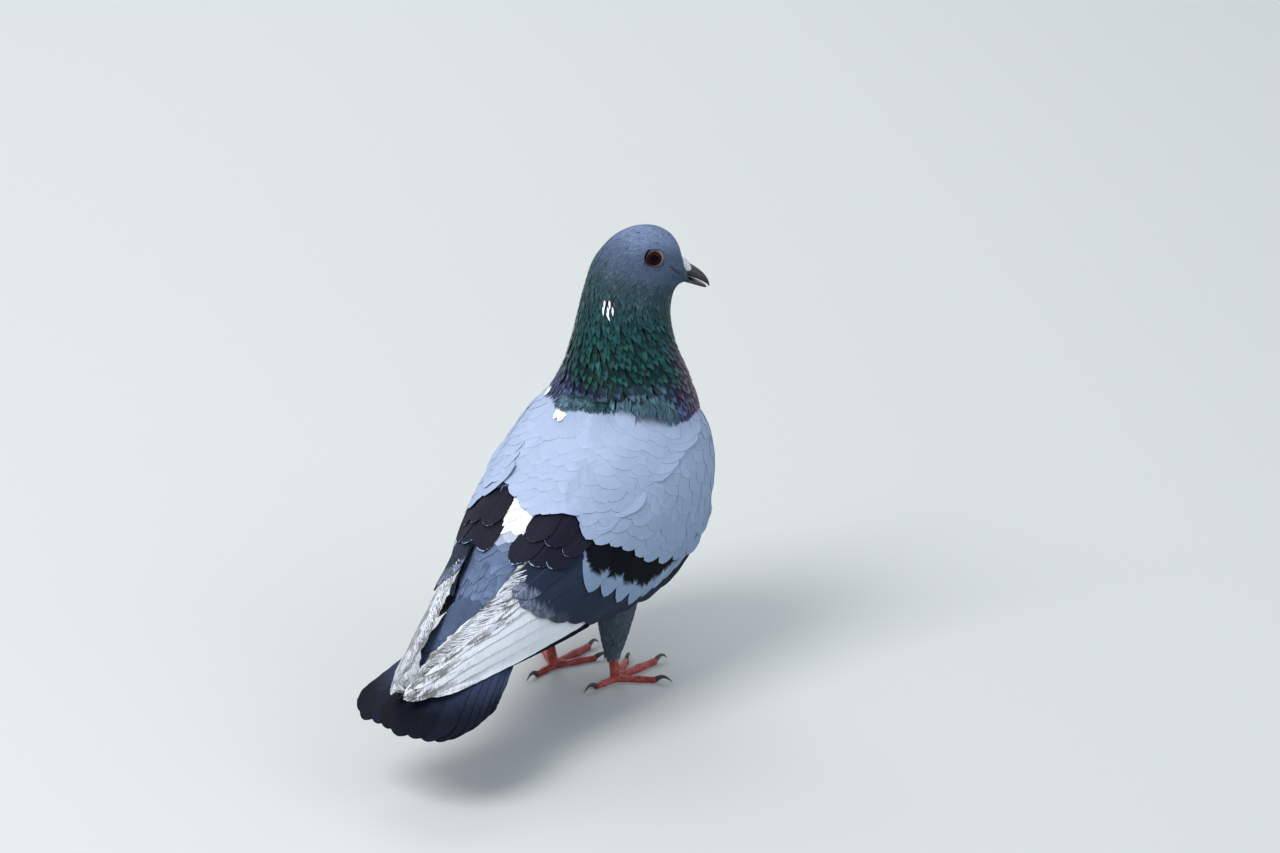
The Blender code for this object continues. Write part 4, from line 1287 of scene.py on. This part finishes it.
def make_skin():
    """One mesh: the body's loft, the thighs' cones, a pad in each wing and the wedge of the tail."""
    skin = Parts()
    at = np.concatenate([np.linspace(-0.35, 13, 110), np.linspace(13, BODY_END, 90)[1:]])[:, None]
    at, theta = np.broadcast_arrays(at, angles(144)[None, :])
    points = body(at, theta, -coat_depth(at))
    for sign in (1, -1):
        radius, height, out = about_eye(points, sign)
        sink = (eye_dip(radius, height, LID_LEVEL - 0.5) + 2.0 * smooth((4.4 - radius) / 1.1)) * (height > 0)
        sink = sink + cere_dip(points, sign) * (height > -8)
        points = points - out * sink[..., None]
    # Half the plumage's colour on the trunk and neck, full on the head: painted shade in the gaps between
    # feathers.
    shade = body_colour(at, theta) * (0.5 + 0.5 * smooth((at - 11.5) / 2))[..., None]
    skin.loft(points, shade=whole(shade), uv=BODY.unwrap(joined(at, theta)))
    for sheet in THIGHS.values():
        along, angle = crossed(np.linspace(0, 1.02, 24), angles(32))
        points = sheet.at(along, angle)
        centre = points.mean(1, keepdims=True)
        off = points - centre
        points = centre + off * (1 - 0.9 / np.linalg.norm(off, axis=-1, keepdims=True))
        # The thighs' skin at 0.6 of their shaded colour: painted shade between the feathers.
        shade = whole(np.broadcast_to(THIGH_IN_SHADE * 0.6, points.shape))
        skin.loft(points, shade=shade, uv=sheet.unwrap(joined(along, angle)))
    # The pads are darkened copies of the plumage's colours, COVERT * 0.8 and SLATE * 0.5: painted shade in
    # the cracks between feathers.
    for sheet in WINGS.values():
        pad(skin, sheet, (0.03, 0.66), (0.03, 0.97), 2.2, 3.2, COVERT * 0.8)
    pad(skin, MANTLE, (0.0, 0.85), (0.3, 5.7), 1.0, 2.0, COVERT * 0.8)
    pad(skin, TAIL_TOP, (-0.02, 0.5), (-0.75, 0.75), 1.2, 2.2, SLATE * 0.5)
    finish = Finish("skin", Roughness=0.8)
    mottle = finish.noise(finish.place(), 900.0)
    finish.set(Base_Color=finish.scaled(finish.attribute("shade"), 0.8 + mottle * 0.4))
    finish.set(Normal=finish.bump(mottle, 0.4, 0.4))
    piece = skin.made("skin", finish.material)
    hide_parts("trunk", "neck", "head", "thigh_left", "thigh_right")


def pad(skin, sheet, along, across, upper, lower, shade):
    """A thin closed pillow under a sheet, between two depths."""
    at = joined(*crossed(np.linspace(*along, 40), np.linspace(*across, 16)))
    point, normal, _, _ = sheet.slopes(at)
    top = point - normal * upper
    bottom = point - normal * lower
    ring = np.concatenate([top, bottom[:, ::-1]], 1)
    flip = sheet.sign < 0
    uv = np.concatenate([sheet.unwrap(at), sheet.unwrap(at)[:, ::-1]], 1)
    skin.loft(ring, flip=not flip, shade=whole(np.broadcast_to(shade, ring.shape)), uv=uv)


def ball(centre, radii, slope, rows=40, ring=48):
    """An ellipsoid pitched nose down by slope, in the head's own plane: closed rings from pole to pole."""
    polar = np.linspace(0.03, math.pi - 0.03, rows)[:, None]
    around = angles(ring)[None, :]
    local = joined(np.cos(polar), np.sin(polar) * np.cos(around), np.sin(polar) * np.sin(around)) * radii
    c, s = math.cos(slope), math.sin(slope)
    x, y, z = np.moveaxis(local, -1, 0)
    return joined(x * c + z * s, y, z * c - x * s) + centre


def corner_of_mouth(hand):
    """The line of the mouth back along the cheek: where the face's surface is nearest to a sloping line."""
    at, theta = crossed(np.linspace(15.0, 20.0, 240), np.linspace(0.15, 0.85, 240) * math.pi)
    face = hung(through(BODY_ROWS, at), theta).reshape(-1, 3)
    share = np.linspace(0, 1, 14)
    line = joined(63.8 - 8.6 * share, 188.3 + 4.6 * share - 1.0 * np.sin(math.pi * share))
    index = np.linalg.norm(face[None, :, ::2] - line[:, None], axis=-1).argmin(1)
    line = turned(face[index] * [1, hand, 1] + [0, 0.3 * hand, 0], HEAD_TURN)
    inward = turned(np.array([0, -hand, 0.0]), HEAD_TURN) - turned(np.zeros(3), HEAD_TURN)
    return line + cere_dip(line, hand)[:, None] * inward


def make_bill():
    finish = Finish("bill_horn", Roughness=0.38, Coat_Weight=0.2)
    grain = finish.noise(finish.place(), 700.0)
    dark = finish.mix(grain.ramp(0.35, 0.75), tint(12, 14, 19), tint(40, 43, 52))
    share, edge, _ = finish.layer("ring")
    cutting = (edge + (grain - 0.5) * 0.3).ramp(0.62, 0.8) * share.ramp(0.35, 0.6)
    finish.set(
        Base_Color=finish.mix(cutting, dark, tint(196, 170, 168)), Normal=finish.bump(grain, 0.15, 0.2)
    )
    for name, rows, node, face in (
        ("bill_upper_horn", BILL_UPPER, "bill_upper", -1),
        ("bill_lower_horn", BILL_LOWER, "bill_lower", 1),
    ):
        at, theta = crossed(np.linspace(0, len(rows) - 1, 40), angles(32))
        part = Parts()
        ring = joined(at / (len(rows) - 1), face * np.cos(theta), 0 * at)
        part.loft(on_head(hung(through(rows, at), theta)), flip=True, ring=ring)
        if face < 0:
            for hand in (1, -1):
                corner = corner_of_mouth(hand)
                radii = 0.42 * np.sin(np.linspace(0.25, 2.6, len(corner)))[:, None]
                bead = along_path(corner, radii, 12)
                part.loft(bead, ring=np.zeros(bead.shape))
        piece = part.made(name, finish.material)
        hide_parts(node)
    finish = Finish("cere_skin", Roughness=0.7)
    grain = finish.noise(finish.place(), 1400.0)
    finish.set(
        Base_Color=finish.mix(grain.ramp(0.3, 0.7), tint(176, 178, 186), tint(236, 236, 238)),
        Normal=finish.bump(grain, 0.6, 0.25)
    )
    part = Parts()
    for sign in (1, -1):
        part.loft(on_head(ball(CERE * [1, sign, 1], CERE_RADII, CERE_SLOPE)), flip=True)
    piece = part.made("cere_lobes", finish.material)
    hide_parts("cere")


def make_eyes():
    """Eyeballs whose rings run outwards from the pupil, and lids as rings round them."""
    finish = Finish("eyeball", Roughness=0.08, Specular_IOR_Level=0.06)
    radius = finish.layer("ring")[0]
    fibres = finish.noise(finish.place(), 2600.0)
    iris = finish.mix(fibres, tint(26, 6, 8), tint(54, 13, 15))
    colour = finish.mix((radius + (fibres - 0.5) * 0.1).ramp(1.9, 2.2), tint(4, 3, 4), iris)
    finish.set(Base_Color=finish.mix(radius.ramp(3.0, 3.3), colour, tint(10, 5, 7)))
    lid_finish = Finish("lid_skin", Roughness=0.6)
    grain = lid_finish.noise(lid_finish.place(), 1500.0)
    rim, _, ahead = lid_finish.layer("ring")
    pale = lid_finish.mix(grain, tint(86, 78, 88), tint(150, 128, 132))
    pale = lid_finish.mix(ahead.ramp(-0.5, 0.6), tint(44, 36, 44), pale)
    lid_finish.set(
        Base_Color=lid_finish.mix(rim.ramp(3.3, 3.7), tint(34, 24, 30), pale),
        Normal=lid_finish.bump(grain, 0.5, 0.2)
    )
    lids = Parts()
    for side, sign in (("left", 1), ("right", -1)):
        eye = EYE * [1, sign, 1]
        polar = np.linspace(0.01, math.pi - 0.01, 64)[:, None]
        around = angles(64)[None, :]
        r, h = EYE_RADIUS * np.sin(polar), EYE_RADIUS * np.cos(polar)
        points = joined(r * np.cos(around), sign * h, r * np.sin(around)) + eye
        layer = joined(np.where(polar < math.pi / 2, r, 9.0), 0 * around, 0 * around)
        part = Parts()
        part.loft(on_head(points), flip=sign > 0, ring=layer)
        piece = part.made(f"eyeball_{side}", finish.material)
        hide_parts(f"eye_{side}")
        # The lid's closed section: distance from the eye's axis, height over the eyeball's centre.
        section = np.array([(3.22, 3.1), (3.2, 3.4), (3.35, 3.6), (3.6, 3.5), (3.95, 3.1), (4.25, 2.7),
                            (4.45, 2.1), (4.0, 1.6), (3.22, 3.1)])
        knots = np.linspace(0, len(section) - 1, 28, endpoint=False)
        away, level = (np.interp(knots, np.arange(len(section)), column) for column in section.T)
        angle = angles(72)[:, None]
        r, h = away + 0 * angle, level + 0.06 * np.sin(angle * 18) * smooth((away - 3.1) / 0.8)
        full = r + 0.45 * smooth((r - 3.3) / 0.8) * np.cos(angle + 0.5)
        points = on_head(joined(full * np.cos(angle), sign * h, full * np.sin(angle)) + eye)
        faces = grid_faces(73, 28, True) % (72 * 28)
        lids.add(points, [faces if sign < 0 else faces[:, ::-1]], ring=joined(r, h, np.cos(angle + 0.6)))
    piece = lids.made("lids", lid_finish.material)


def along_path(path, radii, ring=20, squash=1.0):
    """A round bar carried along points, each ring square to the way ahead."""
    ahead = unit(np.gradient(path, axis=0))
    guide = np.array([0, 0, 1.0]) if abs(ahead[:, 2]).max() < 0.8 else np.array([0, 1.0, 0])
    side = unit(np.cross(guide, ahead))
    up = np.cross(ahead, side)
    theta = angles(ring, 0.5)[None, :, None]
    offset = np.cos(theta) * side[:, None] + squash * np.sin(theta) * up[:, None]
    return path[:, None] + offset * radii[..., None]


def scutes(share, count, theta, depth):
    """The steps of the scales: each scale swells towards its far end, most on the upper side."""
    step = (share * count) % 1.0
    return 1 + depth * (step**2 - 0.35) * (0.35 + 0.65 * np.clip(np.sin(theta), 0, 1))


def make_legs():
    """Shanks and toes, their scales as steps, merged to one shell by a fine remesh, and claws of horn."""
    finish = Finish("leg_scales", Roughness=0.5)
    cells = finish.node(
        "ShaderNodeTexVoronoi", {"feature": "DISTANCE_TO_EDGE"}, Vector=finish.place(), Scale=900.0
    )
    blotch = finish.noise(finish.place(), 130.0)
    red = finish.mix(blotch.ramp(0.35, 0.65), tint(150, 44, 44), tint(196, 92, 84))
    finish.set(Base_Color=finish.mix(cells.ramp(0.0, 0.12), tint(92, 24, 26), red))
    finish.set(Normal=finish.bump(cells.ramp(0.0, 0.2), 0.5, 0.25))
    horn = Finish("claw_horn", Roughness=0.35)
    grain = horn.noise(horn.place(), 900.0)
    horn.set(Base_Color=horn.mix(grain, tint(34, 28, 30), tint(72, 62, 62)))
    theta = angles(20, 0.5)
    for side in ("right", "left"):
        sign = 1 if side == "left" else -1
        leg, claws = Parts(), Parts()
        shin, foot = np.array(SHIN[side]), np.array([*FOOT[side], SHANK_RADIUS + 0.4])
        share = np.linspace(-0.25, 1.05, 90)[:, None]
        radii = SHANK_RADIUS * (1 + 0.12 * (share - 0.5) ** 2) * scutes(share, 9, theta[None, :], 0.10)
        rings = along_path(shin + (foot - shin) * share, radii)
        rings[..., 2] = np.maximum(rings[..., 2], 0.3)
        leg.loft(rings)
        for toe, (heading, length, radius) in TOES.items():
            angle = FOOT_YAW[side] + sign * math.radians(heading)
            ahead = np.array([math.cos(angle), math.sin(angle), 0])
            base = np.array([*FOOT[side], 0])
            share = np.linspace(0, 1, 90)[:, None]
            body_width = radius * (1 + 0.08 * np.sin(share * 2.2 * TURN)) * (1.08 - 0.2 * share)
            closing = np.sqrt(np.clip(1 - np.clip((share - 0.93) / 0.07, 0, 0.99) ** 2, 0, 1))
            widths = body_width * scutes(share, length / 1.9, theta[None, :], 0.11) * closing
            rings = along_path(base + ahead * share * (length + 0.4) + [0, 0, radius - 0.3], widths)
            rings[..., 2] = np.maximum(rings[..., 2], 0.1)
            leg.loft(rings)
            bend = np.linspace(0, 1, 24)
            claw = base + ahead * (length - 0.6 + bend * (CLAW_LENGTH + 1.2))[:, None]
            claw[:, 2] = radius - 0.15 + 0.28 * np.sin(bend * math.pi) * CLAW_LENGTH - 0.85 * bend**2
            claws.loft(along_path(claw, CLAW_RADIUS * 1.12 * (1 - 0.93 * bend**1.2)[:, None], 16, 1.2))
        piece = leg.made(f"leg_{side}", finish.material)
        merge_shell(piece, 0.28)
        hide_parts(f"shank_{side}", f"foot_{side}")
        piece = claws.made(f"claws_{side}", horn.material)
        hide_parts(*(f"claw_{side}_{toe}" for toe in TOES))


def merge_shell(piece, voxel):
    """Makes the piece's overlapping lofts one closed surface by a remesh, its voxel in millimetres."""
    step = piece.modifiers.new("merge", "REMESH")
    step.mode, step.voxel_size = "VOXEL", voxel * MM
    graph = bpy.context.evaluated_depsgraph_get()
    merged = bpy.data.meshes.new_from_object(piece.evaluated_get(graph))
    piece.modifiers.remove(step)
    piece.data = merged
    merged.shade_smooth()


# ---------------------------------------------------------------- stage


def make_stage():
    floor = bpy.data.meshes.new("floor")
    reach = 4.0
    floor.from_pydata(
        [(-reach, -reach, 0), (reach, -reach, 0), (reach, reach, 0), (-reach, reach, 0)], [], [(0, 1, 2, 3)]
    )
    piece = bpy.data.objects.new("floor", floor)
    bpy.context.scene.collection.objects.link(piece)
    finish = Finish("floor_paint", Roughness=0.9)
    finish.shader.inputs["Base Color"].default_value = (0.52, 0.54, 0.53, 1)
    floor.materials.append(finish.material)
    bpy.context.scene.view_settings.view_transform = "Standard"
    world = bpy.context.scene.world or bpy.data.worlds.new("studio")
    bpy.context.scene.world = world
    world.use_nodes = True
    sky = world.node_tree.nodes["Background"].inputs
    sky["Color"].default_value = (0.80, 0.86, 0.95, 1)
    sky["Strength"].default_value = 0.75
    lamps = {
        "key": ((-1.0, 0.5, 1.6), 30, 1.0, (1.0, 0.98, 0.95)),
        "fill": ((0.2, -1.6, 0.9), 6, 1.4, (0.9, 0.95, 1.0)),
        "rim": ((1.0, 1.0, 1.2), 10, 1.0, (1.0, 1.0, 1.0))
    }
    for name, (place, power, size, colour) in lamps.items():
        lamp = bpy.data.lights.new(name, "AREA")
        lamp.energy, lamp.size, lamp.color = power, size, colour
        lit = bpy.data.objects.new(name, lamp)
        bpy.context.scene.collection.objects.link(lit)
        lit.location = place
        lit.rotation_euler = (Vector((0, 0, 0.1)) - lit.location).to_track_quat("-Z", "Y").to_euler()


def make_camera():
    """A long lens from behind the bird's right side, a little above it."""
    yaw, pitch, distance = math.radians(59), math.radians(22), 3.28
    aside, above = 0.02537, 0.11439
    ahead = np.array([math.sin(yaw) * math.cos(pitch), math.cos(yaw) * math.cos(pitch), -math.sin(pitch)])
    right = np.array([math.cos(yaw), -math.sin(yaw), 0])
    up = np.cross(right, ahead)
    lens = bpy.data.cameras.new("camera")
    lens.lens, lens.sensor_width = 200, 36
    lens.clip_end = 50
    camera = bpy.data.objects.new("camera", lens)
    bpy.context.scene.collection.objects.link(camera)
    place = SHIFT * MM + right * aside + up * above - ahead * distance
    turn = np.eye(4)
    turn[:3, 0], turn[:3, 1], turn[:3, 2], turn[:3, 3] = right, up, -ahead, place
    camera.matrix_world = Matrix(turn.tolist())
    bpy.context.scene.camera = camera


make_skin()
head_feathers()
neck_feathers()
trunk_feathers()
saddle_feathers()
thigh_feathers()
for wing in ("right", "left"):
    wing_coverts(wing)
    flight_feathers(wing)
tertials()
tail_feathers()
make_bill()
make_eyes()
make_legs()
make_stage()
make_camera()
